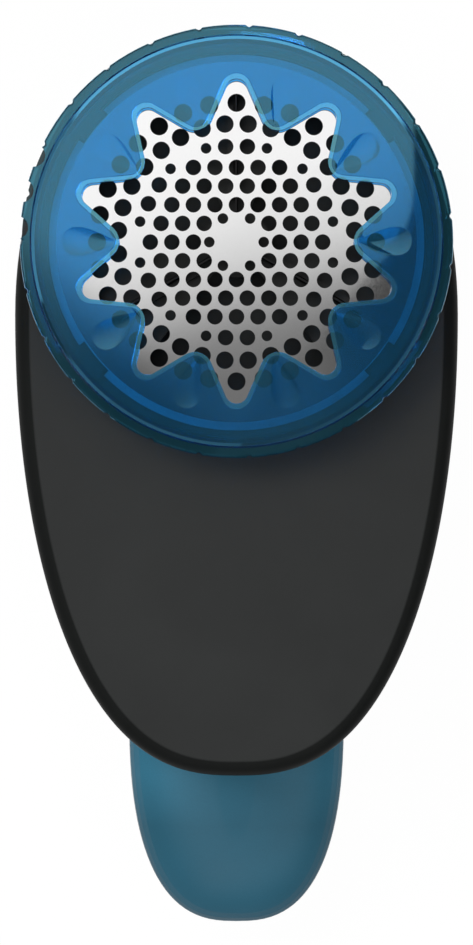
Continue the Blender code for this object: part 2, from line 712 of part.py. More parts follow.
def make_chamber():
    flange = COLLAR_RADIUS + CHAMBER_FLANGE
    hole = MOTOR_BOSS_RADIUS + GAP
    profile = [
        (COLLAR_RADIUS, COLLAR_TOP_Z),
        (COLLAR_RADIUS, CHAMBER_FLANGE_Z),
        (flange, CHAMBER_FLANGE_Z),
        (flange, CHAMBER_FLANGE_Z - CHAMBER_FLANGE_HEIGHT),
        (COLLAR_RADIUS, CHAMBER_FLANGE_Z - CHAMBER_FLANGE_HEIGHT),
        (COLLAR_RADIUS, CHAMBER_UNDER_Z),
        (hole, CHAMBER_UNDER_Z),
        (hole, CHAMBER_INSIDE_Z),
        (LEDGE_BORE, CHAMBER_INSIDE_Z),
        (LEDGE_BORE, LEDGE_Z),
        (COLLAR_BORE, LEDGE_Z),
        (COLLAR_BORE, COLLAR_TOP_Z),
    ]
    chamber = add_object("blade_chamber", turned(profile), "black")
    half = CHUTE_WIDTH / 2
    deep = CHUTE_LENGTH / 2
    inner = CHAMBER_UNDER_Z + CHAMBER_FLOOR / 2
    join(chamber, "chute", block((-half, CHUTE_Y - deep, CHASSIS_Z), (half, CHUTE_Y + deep, inner)))
    half -= CHUTE_WALL
    deep -= CHUTE_WALL
    through = CHAMBER_INSIDE_Z + CHAMBER_FLOOR
    low = (-half, CHUTE_Y - deep, CHASSIS_Z - WALL)
    cut(chamber, "chute_bore", block(low, (half, CHUTE_Y + deep, through)))
    radius = SCREW_RADIUS + GAP + BOSS_WALL
    bore = SCREW_RADIUS + GAP
    foot = CHASSIS_TOP_Z + GAP
    deep_z = SCREW_BORE_DEPTH + SCREW_LENGTH + WALL
    join(chamber, "chamber_bosses", both_pins(UPPER_SCREWS, [(radius, foot), (radius, inner)]))
    cut(chamber, "chamber_bores", both_pins(UPPER_SCREWS, [(bore, foot - WALL), (bore, deep_z)]))
    bore = MOTOR_SCREW_RADIUS + GAP
    low = CHAMBER_UNDER_Z - WALL
    holes = both_pins((MOTOR_SCREW_CIRCLE, HEAD_Y), [(bore, low), (bore, through)], PIN_STEPS)
    cut(chamber, "motor_screw_holes", holes)
    ribs = []
    for rib in range(KEY_RIBS):
        foot_z = RING_FOOT_Z + RING_FOOT_HEIGHT + 2 * GAP
        body = block(
            (COLLAR_RADIUS - CHAMBER_WALL / 2, HEAD_Y - KEY_RIB_WIDTH / 2, foot_z),
            (COLLAR_RADIUS + KEY_RIB_PROUD, HEAD_Y + KEY_RIB_WIDTH / 2, foot_z + KEY_RIB_HEIGHT),
        )
        ribs.append(rotated(body, key_angle(rib)))
    join(chamber, "key_ribs", merged(ribs))
    tabs = []
    inner = FRAME_RADIUS + GAP
    outer = COLLAR_BORE + CHAMBER_WALL / 2
    levels = (FRAME_FOOT_Z + FRAME_FLANGE_HEIGHT + GAP, COLLAR_TOP_Z)
    for angle in BAYONET_ANGLES:
        tabs.append(arc_block(inner, outer, angle, BAYONET_WIDTH - BAYONET_PLAY, levels))
    join(chamber, "bayonet_tabs", merged(tabs))


def key_angle(rib):
    """Where the ribs that keep the guard from turning stand, between the cam pins."""
    return 360 / KEY_RIBS * rib + KEY_START_ANGLE


def pin_angle(pin):
    return 360 / CAM_PINS * pin + CAM_START_ANGLE


def arc_block(inner, outer, middle, width, levels, steps=3):
    """A short stretch of a ring, with its middle and width in degrees."""
    angles = [math.radians(middle + width * (step / steps - 0.5)) for step in range(steps + 1)]
    outline = [(outer, angle) for angle in angles] + [(inner, angle) for angle in reversed(angles)]
    rings = []
    for z in levels:
        rings.append([Vector((r * math.cos(a), HEAD_Y + r * math.sin(a), z)) for r, a in outline])
    return loft(rings)


def make_height_ring():
    bm = bmesh.new()
    outer = grip_outline()
    foot = add_loop(bm, [Vector((x, y, RING_FOOT_Z)) for x, y in outer])
    shoulder = add_loop(bm, [Vector((x, y, RING_TOP_Z - RING_CHAMFER)) for x, y in outer])
    shrink = (RING_RADIUS - RING_CHAMFER) / RING_RADIUS
    top = add_loop(bm, [Vector((x * shrink, HEAD_Y + (y - HEAD_Y) * shrink, RING_TOP_Z)) for x, y in outer])
    join_loops(bm, foot, shoulder)
    join_loops(bm, shoulder, top)
    foot_top = RING_FOOT_Z + RING_FOOT_HEIGHT
    bore_top = add_loop(bm, circle(RING_BORE, RING_TOP_Z))
    bore_low = add_loop(bm, circle(RING_BORE, foot_top))
    step_top = add_loop(bm, circle(SKIRT_BORE, foot_top))
    step_low = add_loop(bm, circle(SKIRT_BORE, RING_FOOT_Z))
    fill_between(bm, top, bore_top)
    join_loops(bm, bore_top, bore_low)
    join_loops(bm, bore_low, step_top)
    join_loops(bm, step_top, step_low)
    fill_between(bm, foot, step_low)
    ring = add_object("height_ring", bm, "clear_blue", HEAD)
    middle = RING_RADIUS - SCALLOP_DEPTH + SCALLOP_RADIUS
    scallops = []
    for angle in SCALLOP_ANGLES:
        turn = math.radians(angle)
        centre = Vector((middle * math.cos(turn), HEAD_Y + middle * math.sin(turn), 0.0))
        profile = [(SCALLOP_RADIUS, foot_top), (SCALLOP_RADIUS, RING_TOP_Z + WALL)]
        scallops.append(stacked(profile, centre=centre))
    cut(ring, "scallops", merged(scallops))
    cut(ring, "cam_grooves", merged([cam_groove(pin_angle(pin)) for pin in range(CAM_PINS)]))


def grip_outline():
    """The height ring's outer outline, with a shallow groove at each grip step."""
    half = GRIP_GROOVE_WIDTH / RING_RADIUS / 2
    points = []
    for groove in range(GRIP_GROOVES):
        middle = 2 * math.pi * (groove + 0.5) / GRIP_GROOVES
        for across, down in GRIP_GROOVE_SHAPE:
            angle = middle + across * half
            radius = RING_RADIUS - down * GRIP_GROOVE_DEPTH
            points.append((radius * math.cos(angle), HEAD_Y + radius * math.sin(angle)))
        land = middle + math.pi / GRIP_GROOVES
        points.append((RING_RADIUS * math.cos(land), HEAD_Y + RING_RADIUS * math.sin(land)))
    return points


def cam_pin_z():
    return SKIRT_FOOT_Z + CAM_PIN_RADIUS + GAP


def cam_groove(angle):
    """The slanted groove inside the height ring in which one pin of the guard climbs."""
    inner = GUARD_RADIUS - GAP
    outer = GUARD_RADIUS + CAM_PIN_LENGTH + GAP
    room = CAM_PIN_RADIUS + GAP
    side = math.degrees((room + GAP) / RING_BORE)
    bm = bmesh.new()
    loops = []
    for step in range(-1, GROOVE_STEPS + 2):
        share = min(1.0, max(0.0, step / GROOVE_STEPS))
        turn = angle - HEIGHT_TURN * share
        turn += side if step < 0 else 0.0
        turn -= side if step > GROOVE_STEPS else 0.0
        z = cam_pin_z() + GUARD_LIFT * share
        a = math.radians(turn)
        loop = []
        for radius, height in ((inner, z - room), (outer, z - room), (outer, z + room), (inner, z + room)):
            loop.append(Vector((radius * math.cos(a), HEAD_Y + radius * math.sin(a), height)))
        loops.append(add_loop(bm, loop))
    for first, second in zip(loops, loops[1:]):
        join_loops(bm, first, second)
    bm.faces.new(loops[0])
    bm.faces.new(reversed(loops[-1]))
    bmesh.ops.recalc_face_normals(bm, faces=bm.faces)
    return bm


def rounded_corner(before, corner, after, radius, steps):
    """Points on the arc of this radius that rounds a corner between two straight lines."""
    one = (before - corner).normalized()
    two = (after - corner).normalized()
    half = one.angle(two) / 2
    middle = corner + (one + two).normalized() * (radius / math.sin(half))
    start = corner + one * (radius / math.tan(half)) - middle
    end = corner + two * (radius / math.tan(half)) - middle
    return [middle + radius * start.slerp(end, step / steps) for step in range(steps + 1)]


def star(grow, z):
    """The star opening's outline, made larger all round by a distance."""
    pitch = math.pi / STAR_TIPS
    flank = Vector((STAR_TIP_CORNER, 0.0)) - STAR_VALLEY_CORNER * Vector((math.cos(pitch), math.sin(pitch)))
    slope = math.atan2(-flank.y, flank.x)
    tip = STAR_TIP_CORNER + grow / math.sin(slope)
    valley = STAR_VALLEY_CORNER + grow / math.sin(slope + pitch)
    corners = []
    for step in range(2 * STAR_TIPS):
        radius = tip if step % 2 == 0 else valley
        angle = math.pi / 2 + pitch * step
        corners.append(Vector((radius * math.cos(angle), radius * math.sin(angle))))
    points = []
    for step, corner in enumerate(corners):
        before = corners[step - 1]
        after = corners[(step + 1) % len(corners)]
        if step % 2 == 0:
            points += rounded_corner(before, corner, after, STAR_TIP_ROUND + TIP_GROWTH * grow, TIP_STEPS)
        else:
            radius = STAR_VALLEY_ROUND - VALLEY_SHRINK * grow
            points += rounded_corner(before, corner, after, radius, VALLEY_STEPS)
    return [Vector((point.x, HEAD_Y + point.y, z)) for point in points]


def dimple(tooth):
    """A petal-shaped hollow in one of the guard's teeth."""
    bm = bmesh.new()
    rise = DIMPLE_DEPTH * 2
    above = rise - DIMPLE_DEPTH
    swell = 1 / math.sqrt(1 - (above / rise) ** 2)
    scale = Matrix.Diagonal((DIMPLE_LENGTH / 2 * swell, DIMPLE_WIDTH / 2 * swell, rise, 1.0))
    place = Matrix.Translation((DIMPLE_RADIUS, HEAD_Y, GUARD_TOP_Z + above))
    around, down = DIMPLE_STEPS
    bmesh.ops.create_uvsphere(bm, u_segments=around, v_segments=down, radius=1.0, matrix=place @ scale)
    for vertex in bm.verts:
        outward = (vertex.co.x - DIMPLE_RADIUS) / (DIMPLE_LENGTH / 2)
        vertex.co.y = HEAD_Y + (vertex.co.y - HEAD_Y) * (1 + DIMPLE_TAPER * outward)
    return rotated(bm, 90 + 180 / STAR_TIPS + 360 / STAR_TIPS * tooth)


def make_star_guard():
    bm = bmesh.new()
    lip_z = GUARD_TOP_Z - STAR_LIP_DROP
    star_low = add_loop(bm, star(0.0, GUARD_UNDER_Z))
    lip_inner = add_loop(bm, star(0.0, lip_z))
    lip_outer = add_loop(bm, star(STAR_LIP, lip_z))
    star_top = add_loop(bm, star(STAR_LIP, GUARD_TOP_Z))
    join_loops(bm, star_low, lip_inner)
    join_loops(bm, lip_inner, lip_outer)
    join_loops(bm, lip_outer, star_top)
    profile = [
        (GUARD_RADIUS - RING_CHAMFER, GUARD_TOP_Z),
        (GUARD_RADIUS, GUARD_TOP_Z - GUARD_EDGE_DROP),
        (GUARD_RADIUS, SKIRT_FOOT_Z),
        (SKIRT_BORE, SKIRT_FOOT_Z),
        (SKIRT_BORE, GUARD_UNDER_Z),
    ]
    loops = [add_loop(bm, circle(radius, z)) for radius, z in profile]
    for first, second in zip(loops, loops[1:]):
        join_loops(bm, first, second)
    fill_between(bm, loops[0], star_top)
    fill_between(bm, loops[-1], star_low)
    guard = add_object("star_guard", bm, "clear_blue")
    cut(guard, "dimples", merged([dimple(tooth) for tooth in range(STAR_TIPS)]))
    notches = []
    for rib in range(KEY_RIBS):
        half = KEY_RIB_WIDTH / 2 + GAP
        foot_z = RING_FOOT_Z + RING_FOOT_HEIGHT + 2 * GAP
        body = block(
            (SKIRT_BORE - WALL / 2, HEAD_Y - half, SKIRT_FOOT_Z - WALL),
            (COLLAR_RADIUS + KEY_RIB_PROUD + GAP, HEAD_Y + half, foot_z + KEY_RIB_HEIGHT + GAP),
        )
        notches.append(rotated(body, key_angle(rib)))
    cut(guard, "key_notches", merged(notches))
    pins = []
    for pin in range(CAM_PINS):
        turn = Matrix.Rotation(math.radians(pin_angle(pin)), 4, "Z")
        start = Matrix.Translation(HEAD) @ turn
        inner = GUARD_RADIUS - GAP
        outer = GUARD_RADIUS + CAM_PIN_LENGTH
        rings = []
        for radius in (inner, outer):
            ring = []
            for step in range(PIN_STEPS):
                t = 2 * math.pi * (step + 0.5) / PIN_STEPS
                across = CAM_PIN_RADIUS * math.cos(t)
                ring.append(start @ Vector((radius, across, cam_pin_z() + CAM_PIN_RADIUS * math.sin(t))))
            rings.append(ring)
        pins.append(loft(rings))
    join(guard, "cam_pins", merged(pins))


def foil_holes():
    """Each hole of the foil as (x, y, diameter) from the foil's centre."""
    holes = []

    def on_circle(radius, angles, diameter):
        for angle in angles:
            turn = math.radians(angle)
            holes.append((radius * math.cos(turn), radius * math.sin(turn), diameter))

    sixths = [60 * step for step in range(6)]
    on_circle(INNER_SMALL_CIRCLE, sixths, SMALL_HOLE)
    span = range(-LATTICE_RINGS, LATTICE_RINGS + 1)
    for row in span:
        for column in span:
            rings = max(abs(row), abs(column), abs(row + column))
            if 2 <= rings <= LATTICE_RINGS:
                x = LATTICE_PITCH * (column + row / 2)
                holes.append((x, LATTICE_PITCH * row * math.sqrt(3) / 2, LATTICE_HOLE))
    for side in (-1, 1):
        pairs = [30 + turn + side * CORNER_HOLE_SPREAD for turn in sixths]
        on_circle(CORNER_HOLE_CIRCLE, pairs, LATTICE_HOLE)
        pairs = [turn + side * CORNER_SMALL_SPREAD for turn in sixths]
        on_circle(CORNER_SMALL_CIRCLE, pairs, SMALL_HOLE)
    step = 360 / RING_HOLES
    on_circle(RING_A_CIRCLE, [step * (hole + 0.5) for hole in range(RING_HOLES)], RING_A_HOLE)
    on_circle(RING_B_CIRCLE, [step * hole for hole in range(RING_HOLES)], RING_B_HOLE)
    return holes


def make_foil():
    bm = bmesh.new()
    loops = [add_loop(bm, circle(FOIL_RADIUS, FOIL_UNDER_Z))]
    for x, y, diameter in foil_holes():
        steps = LARGE_HOLE_STEPS if diameter > LATTICE_HOLE else SMALL_HOLE_STEPS
        area = steps / 2 * math.sin(2 * math.pi / steps)
        radius = diameter / 2 * math.sqrt(math.pi / area)
        loops.append(add_loop(bm, circle(radius, FOIL_UNDER_Z, steps, Vector((x, HEAD_Y + y, 0.0)))))
    fill_between(bm, *loops)
    raised = bmesh.ops.extrude_face_region(bm, geom=bm.faces[:])
    lifted = [item for item in raised["geom"] if isinstance(item, bmesh.types.BMVert)]
    bmesh.ops.translate(bm, vec=(0.0, 0.0, FOIL_THICKNESS), verts=lifted)
    add_object("foil", bm, "foil_steel", HEAD)


def make_foil_frame():
    flange_top = FRAME_FOOT_Z + FRAME_FLANGE_HEIGHT
    profile = [
        (FRAME_RADIUS, FRAME_TOP_Z),
        (FRAME_RADIUS, flange_top),
        (FRAME_FLANGE_RADIUS, flange_top),
        (FRAME_FLANGE_RADIUS, FRAME_FOOT_Z),
        (FRAME_BORE, FRAME_FOOT_Z),
        (FRAME_BORE, FRAME_TOP_Z),
    ]
    frame = add_object("foil_frame", turned(profile), "frame_grey", HEAD)
    notches = []
    levels = (FRAME_FOOT_Z - WALL, flange_top + GAP)
    for angle in BAYONET_ANGLES:
        notches.append(arc_block(FRAME_RADIUS, FRAME_FLANGE_RADIUS + WALL, angle, BAYONET_WIDTH, levels))
    cut(frame, "bayonet_notches", merged(notches))


def make_rotor():
    shaft = [(SHAFT_RADIUS, SHAFT_FOOT_Z), (SHAFT_RADIUS, SHAFT_TOP_Z)]
    add_object("motor_shaft", stacked(shaft, SCREW_STEPS), "zinc", HEAD)
    bore = SHAFT_RADIUS + GAP
    flange_top = DRIVE_FOOT_Z + DRIVE_FLANGE_HEIGHT
    hub = [
        (bore, DRIVE_TOP_Z),
        (DRIVE_NECK_RADIUS, DRIVE_TOP_Z),
        (DRIVE_NECK_RADIUS, flange_top),
        (DRIVE_FLANGE_RADIUS, flange_top),
        (DRIVE_FLANGE_RADIUS, DRIVE_FOOT_Z),
        (bore, DRIVE_FOOT_Z),
    ]
    add_object("drive_hub", turned(hub, SCREW_STEPS), "brass", HEAD)
    bore = DRIVE_NECK_RADIUS + GAP
    profile = [
        (bore, CARRIER_ARM_TOP_Z),
        (CARRIER_HUB_RADIUS, CARRIER_ARM_TOP_Z),
        (CARRIER_HUB_RADIUS, CARRIER_HUB_FOOT_Z),
        (bore, CARRIER_HUB_FOOT_Z),
    ]
    carrier = add_object("blade_carrier", turned(profile, CIRCLE_STEPS // 2), "black", HEAD)
    arms = []
    for arm in range(BLADES):
        levels = (CARRIER_ARM_FOOT_Z, CARRIER_ARM_TOP_Z)
        inner = CARRIER_HUB_RADIUS - WALL
        outer = BLADE_TIP_RADIUS - WALL / 2
        arms.append(arc_block(inner, outer, blade_angle(arm), CARRIER_ARM_WIDTH, levels, BLADES * 3))
    for arm, body in enumerate(arms):
        join(carrier, f"carrier_arm_{arm + 1}", body)
    for arm in range(BLADES):
        side = BLADE_THICKNESS / 2 + GAP
        wall = block(
            (CARRIER_HUB_RADIUS + WALL, HEAD_Y + side, CARRIER_ARM_TOP_Z - CARRIER_ARM_HEIGHT / 2),
            (BLADE_TIP_RADIUS - 2 * WALL, HEAD_Y + side + WALL / 2, BLADE_TOP_Z - WALL),
        )
        join(carrier, f"blade_wall_{arm + 1}", rotated(wall, blade_angle(arm)))
        add_object(f"blade_{arm + 1}", make_blade(blade_angle(arm)), "blade_steel", HEAD)
    rise = CARRIER_HUB_FOOT_Z - flange_top - 2 * GAP - BLADE_SPRING_WIRE
    mean = DRIVE_NECK_RADIUS + GAP + BLADE_SPRING_WIRE
    low = flange_top + GAP + BLADE_SPRING_WIRE / 2
    points = coil(BLADE_SPRING_CURLS, rise, lambda share: mean)
    points = [HEAD + Vector((x, y, low + z)) for x, y, z in points]
    add_tube("blade_spring", points, BLADE_SPRING_WIRE / 2, "spring_steel", 1)


def blade_angle(arm):
    return 360 / BLADES * arm + BLADE_START_ANGLE


def make_blade(angle):
    """A steel strip on edge whose upper side is ground to a slant."""
    half = BLADE_THICKNESS / 2
    section = (
        (-half, BLADE_FOOT_Z),
        (half, BLADE_FOOT_Z),
        (half, BLADE_TOP_Z),
        (-half / 4, BLADE_TOP_Z),
        (-half, BLADE_TOP_Z - BLADE_THICKNESS),
    )
    rings = []
    for radius in (BLADE_ROOT_RADIUS, BLADE_TIP_RADIUS):
        rings.append([Vector((radius, HEAD_Y + y, z)) for y, z in section])
    return rotated(loft(rings), angle)


def coil(curls, rise, radius_of):
    """Points of a coil that starts at the origin's level and climbs along z."""
    count = round(curls * CURL_STEPS)
    points = []
    for step in range(count + 1):
        share = step / count
        turn = 2 * math.pi * curls * share
        radius = radius_of(share)
        points.append((radius * math.cos(turn), radius * math.sin(turn), rise * share))
    return points


def least_gap(points, radius):
    """The least distance between the surfaces of a tube's turns."""
    least = math.inf
    for first in range(len(points)):
        for second in range(first + CURL_STEPS * 2 // 3, len(points)):
            least = min(least, (points[first] - points[second]).length - 2 * radius)
    return least


def add_tube(name, points, radius, finish, resolution=2):
    """A round wire along points, closed at both ends."""
    curve = bpy.data.curves.new(name, "CURVE")
    curve.dimensions = "3D"
    curve.bevel_depth = radius
    curve.bevel_resolution = resolution
    curve.use_fill_caps = True
    spline = curve.splines.new("POLY")
    spline.points.add(len(points) - 1)
    for place, point in zip(spline.points, points):
        place.co = (*point, 1.0)
    curve.materials.append(material(finish))
    made = bpy.data.objects.new(name, curve)
    bpy.context.scene.collection.objects.link(made)
    if "spring" in name:
        print(name, "least gap to itself in mm", round(least_gap(points, radius) / MM, 2))
    return made


def make_motor():
    bore = SHAFT_RADIUS + GAP
    top = MOTOR_TOP_Z + MOTOR_BOSS_HEIGHT
    profile = [
        (MOTOR_RADIUS - MOTOR_EDGE, MOTOR_UNDER_Z),
        (MOTOR_RADIUS, MOTOR_UNDER_Z + MOTOR_EDGE),
        (MOTOR_RADIUS, MOTOR_TOP_Z - MOTOR_EDGE),
        (MOTOR_RADIUS - MOTOR_EDGE, MOTOR_TOP_Z),
        (MOTOR_BOSS_RADIUS, MOTOR_TOP_Z),
        (MOTOR_BOSS_RADIUS, top),
    ]
    can = add_object("motor_can", stacked(profile, CIRCLE_STEPS // 2), "zinc")
    cut(can, "shaft_bore", stacked([(bore, SHAFT_FOOT_Z - GAP), (bore, top + WALL)], SCREW_STEPS))
    thread = MOTOR_SCREW_RADIUS + GAP
    reach = CHAMBER_FLOOR + 2 * WALL
    low = MOTOR_TOP_Z - reach
    place = (MOTOR_SCREW_CIRCLE, HEAD_Y)
    cut(can, "motor_threads", both_pins(place, [(thread, low), (thread, top + WALL)], PIN_STEPS))
    head_z = CHAMBER_INSIDE_Z + GAP
    head, head_height = MOTOR_SCREW_HEAD
    screw = [
        (MOTOR_SCREW_RADIUS, low + GAP),
        (MOTOR_SCREW_RADIUS, head_z),
        (head, head_z),
        (head, head_z + head_height),
    ]
    add_each("motor_screw", [stacked(screw, SCREW_STEPS, centre) for centre in sides(place)], "blade_steel")
    cap = [
        (MOTOR_CAP_RADIUS - MOTOR_EDGE, MOTOR_CAP_UNDER_Z),
        (MOTOR_CAP_RADIUS, MOTOR_CAP_TOP_Z - MOTOR_EDGE),
        (MOTOR_CAP_RADIUS, MOTOR_CAP_TOP_Z),
    ]
    add_object("motor_end_cap", stacked(cap, CIRCLE_STEPS // 2), "black")
    tab_low = MOTOR_CAP_UNDER_Z - GAP - 2 * WALL
    tabs = []
    for side in (1, -1):
        x = side * MOTOR_TAB_OFFSET
        low = (x - CONTACT_THICKNESS / 2, HEAD_Y - WALL / 2, tab_low)
        tabs.append(block(low, (x + CONTACT_THICKNESS / 2, HEAD_Y + WALL / 2, MOTOR_CAP_UNDER_Z - GAP)))
    add_each("motor_terminal", tabs, "brass")


def make_screws():
    foot = SCREW_BORE_DEPTH - GAP
    profile = [
        (SCREW_HEAD_RADIUS, foot - SCREW_HEAD_HEIGHT),
        (SCREW_HEAD_RADIUS, foot),
        (SCREW_RADIUS, foot),
        (SCREW_RADIUS, foot + SCREW_LENGTH),
    ]
    places = sides(LOWER_SCREWS) + sides(UPPER_SCREWS)
    add_each("shell_screw", [stacked(profile, SCREW_STEPS, centre) for centre in places], "zinc")


def make_battery_door():
    door = add_object("battery_door", body_solid(), "teal")
    cut(door, "door_arch", arch_cutter())
    combine(door, bpy.data.objects["body_inside"], "DIFFERENCE")
    far = (-2 * EGG_HALF_WIDTH, -2 * HALF_LENGTH, -WALL)
    keep(door, "door_part", block(far, (2 * EGG_HALF_WIDTH, DOOR_END_Y, DOOR_HEIGHT)))


def make_lint_bin():
    drawer = add_object("lint_bin", body_solid(), "teal")
    half = BIN_WIDTH / 2
    low = (-half, BIN_BACK_Y, BIN_FLOOR_Z)
    keep(drawer, "bin_part", block(low, (half, 2 * HALF_LENGTH, SPLIT_Z + WALL)))
    low = (-half + BIN_WALL, BIN_BACK_Y + BIN_WALL, BIN_FLOOR_Z + BIN_WALL)
    cut(drawer, "bin_inside", block(low, (half - BIN_WALL, BIN_BACK_Y + BIN_DEPTH, SPLIT_Z + WALL)))
    middle_y = HALF_LENGTH - REVEAL - SCOOP_DEPTH + SCOOP_RADIUS
    scoop = []
    for x in (-SCOOP_WIDTH / 2, SCOOP_WIDTH / 2):
        ring = []
        for step in range(SMALL_CIRCLE_STEPS):
            t = 2 * math.pi * step / SMALL_CIRCLE_STEPS
            z = BACK_ROUND_UP + SCOOP_RADIUS * math.sin(t)
            ring.append(Vector((x, middle_y + SCOOP_RADIUS * math.cos(t), z)))
        scoop.append(ring)
    cut(drawer, "bin_scoop", loft(scoop))


def cell(name, x, far_y, facing):
    """An AA cell along Y: facing 1 has its nub towards +Y, facing -1 towards -Y."""
    profile = [
        (CELL_RADIUS - CELL_EDGE, 0.0),
        (CELL_RADIUS, CELL_EDGE),
        (CELL_RADIUS, CELL_LENGTH - CELL_EDGE),
        (CELL_RADIUS - CELL_EDGE, CELL_LENGTH),
        (CELL_NUB_RADIUS, CELL_LENGTH),
        (CELL_NUB_RADIUS, CELL_LENGTH + CELL_NUB_LENGTH),
    ]
    start_y = far_y if facing > 0 else far_y + CELL_LENGTH + CELL_NUB_LENGTH
    rings = []
    for radius, along in profile:
        flat = circle(radius, 0.0, CELL_STEPS, Vector())
        rings.append([Vector((x + p.x, start_y + facing * along, CELL_Z + p.y)) for p in flat])
    add_object(name, loft(rings), "cell_green")


def make_battery_bay():
    spring = CONTACT_SPRING_LENGTH + GAP
    cell("battery_1", -CELL_X, BAY_FAR_Y + spring + GAP, 1)
    cell("battery_2", CELL_X, BAY_FAR_Y + GAP, -1)
    half = CONTACT_WIDTH / 2
    low = (-CELL_X - half, BAY_FAR_Y - CONTACT_THICKNESS, CELL_Z - half)
    add_object("contact_bridge", block(low, (CELL_X + half, BAY_FAR_Y, CELL_Z + half)), "brass")
    add_each("terminal_plate", [terminal_plate(side * CELL_X, half) for side in (1, -1)], "brass")
    reach = CONTACT_SPRING_LENGTH - CONTACT_SPRING_WIRE - GAP
    for name, x, start, way in (
        ("contact_spring_1", -CELL_X, BAY_FAR_Y + GAP, 1),
        ("contact_spring_2", CELL_X, BAY_NEAR_Y - GAP, -1),
    ):
        narrowing = CONTACT_SPRING_WIDE - CONTACT_SPRING_NARROW
        points = coil(CONTACT_SPRING_CURLS, reach, lambda share: CONTACT_SPRING_WIDE - narrowing * share)
        wire = CONTACT_SPRING_WIRE / 2
        points = [Vector((x + a, start + way * (along + wire), CELL_Z + way * b)) for a, b, along in points]
        add_tube(name, points, wire, "spring_steel", 1)
    make_tray()


def terminal_plate(x, half):
    """A contact plate with a solder tab that goes through the tray's wall."""
    tab = CONTACT_WIDTH / 6
    outline = [
        (BAY_NEAR_Y, -half),
        (BAY_NEAR_Y + CONTACT_THICKNESS, -half),
        (BAY_NEAR_Y + CONTACT_THICKNESS, half - CONTACT_THICKNESS),
        (TRAY_NEAR_Y + WALL, half - CONTACT_THICKNESS),
        (TRAY_NEAR_Y + WALL, half),
        (BAY_NEAR_Y, half),
    ]
    rings = [[Vector((x + side * tab, y, CELL_Z + z)) for y, z in outline] for side in (-1, 1)]
    return loft(rings)


def make_tray():
    under = TRAY_TOP_Z - TRAY_WALL
    ceiling = block((-TRAY_HALF_WIDTH, TRAY_FAR_Y, under), (TRAY_HALF_WIDTH, TRAY_NEAR_Y, TRAY_TOP_Z))
    tray = add_object("battery_tray", ceiling, "black")
    overlap = TRAY_WALL / 2
    foot = CELL_Z - CELL_RADIUS
    far_half = TRAY_HALF_WIDTH - WALL
    low = (-far_half, TRAY_FAR_Y, foot + WALL)
    join(tray, "tray_far_wall", block(low, (far_half, TRAY_FAR_Y + TRAY_WALL, under + overlap)))
    low = (-TRAY_HALF_WIDTH, TRAY_NEAR_Y - TRAY_WALL, foot + GAP)
    join(tray, "tray_near_wall", block(low, (TRAY_HALF_WIDTH, TRAY_NEAR_Y, under + overlap)))
    windows = []
    tab = CONTACT_WIDTH / 6 + GAP
    half = CONTACT_WIDTH / 2
    for side in (1, -1):
        x = side * CELL_X
        low = (x - tab, TRAY_NEAR_Y - 2 * TRAY_WALL, CELL_Z + half - CONTACT_THICKNESS - GAP)
        windows.append(block(low, (x + tab, TRAY_NEAR_Y + TRAY_WALL, CELL_Z + half + GAP)))
    cut(tray, "tab_windows", merged(windows))
    post = TRAY_POST / 2
    far_post = (TRAY_FAR_Y + HANDLE_WIDEST_Y) / 2
    near_post = TRAY_NEAR_Y - TRAY_POST * 2
    tops = ((far_post, SPLIT_Z - WALL - GAP), (near_post, SPLIT_Z))
    posts = [block((-post, y - post, TRAY_TOP_Z - overlap), (post, y + post, top)) for y, top in tops]
    join(tray, "tray_posts", merged(posts))


def make_switch():
    stem = SWITCH_STEM / 2
    pad_top = ARCH_DEPTH - SWITCH_PAD_RECESS
    wide, long, thick = SWITCH_PAD
    low = Vector((-wide / 2, SWITCH_Y - long / 2, pad_top - thick))
    pad = block(low, (wide / 2, SWITCH_Y + long / 2, pad_top))
    slider = add_object("switch_slider", pad, "rubber_grey")
    stem_top = ARCH_DEPTH + 3 * WALL
    low = (-stem, SWITCH_Y - stem, pad_top - thick / 2)
    join(slider, "switch_stem", block(low, (stem, SWITCH_Y + stem, stem_top)))
    ridges = []
    for ridge in range(-1, 2):
        y = SWITCH_Y + ridge * long / 4
        low = (-wide / 2 - GAP, y - GAP, pad_top - thick - GAP)
        ridges.append(block(low, (wide / 2 + GAP, y + GAP, pad_top - thick + GAP)))
    cut(slider, "grip_lines", merged(ridges))
    body_y = SWITCH_Y + SWITCH_TRAVEL / 2
    wide, long, high = SWITCH_BODY
    foot = SWITCH_TOP_Z - high
    body = block((-wide / 2, body_y - long / 2, foot), (wide / 2, body_y + long / 2, SWITCH_TOP_Z))
    housing = add_object("switch_body", body, "black")
    room = stem + GAP
    high = (room, SWITCH_Y + SWITCH_TRAVEL + room, stem_top + GAP)
    cut(housing, "stem_room", block((-room, SWITCH_Y - room, foot - WALL), high))
    tabs = []
    for side in (1, -1):
        y = body_y + side * long / 3
        low = (-WALL / 2, y - CONTACT_THICKNESS / 2, SWITCH_TOP_Z + GAP)
        tabs.append(block(low, (WALL / 2, y + CONTACT_THICKNESS / 2, SWITCH_TOP_Z + GAP + 1.5 * WALL)))
    add_each("switch_terminal", tabs, "brass")


def smooth_route(route):
    """Points on a smooth curve through a route's own points."""
    ends = [2 * route[0] - route[1], *route, 2 * route[-1] - route[-2]]
    points = []
    for first, start, end, last in zip(ends, ends[1:], ends[2:], ends[3:]):
        for step in range(WIRE_STEPS):
            t = step / WIRE_STEPS
            point = 2 * start + (end - first) * t
            point += (2 * first - 5 * start + 4 * end - last) * t * t
            point += (3 * start - first - 3 * end + last) * t * t * t
            points.append(point / 2)
    points.append(route[-1].copy())
    return points


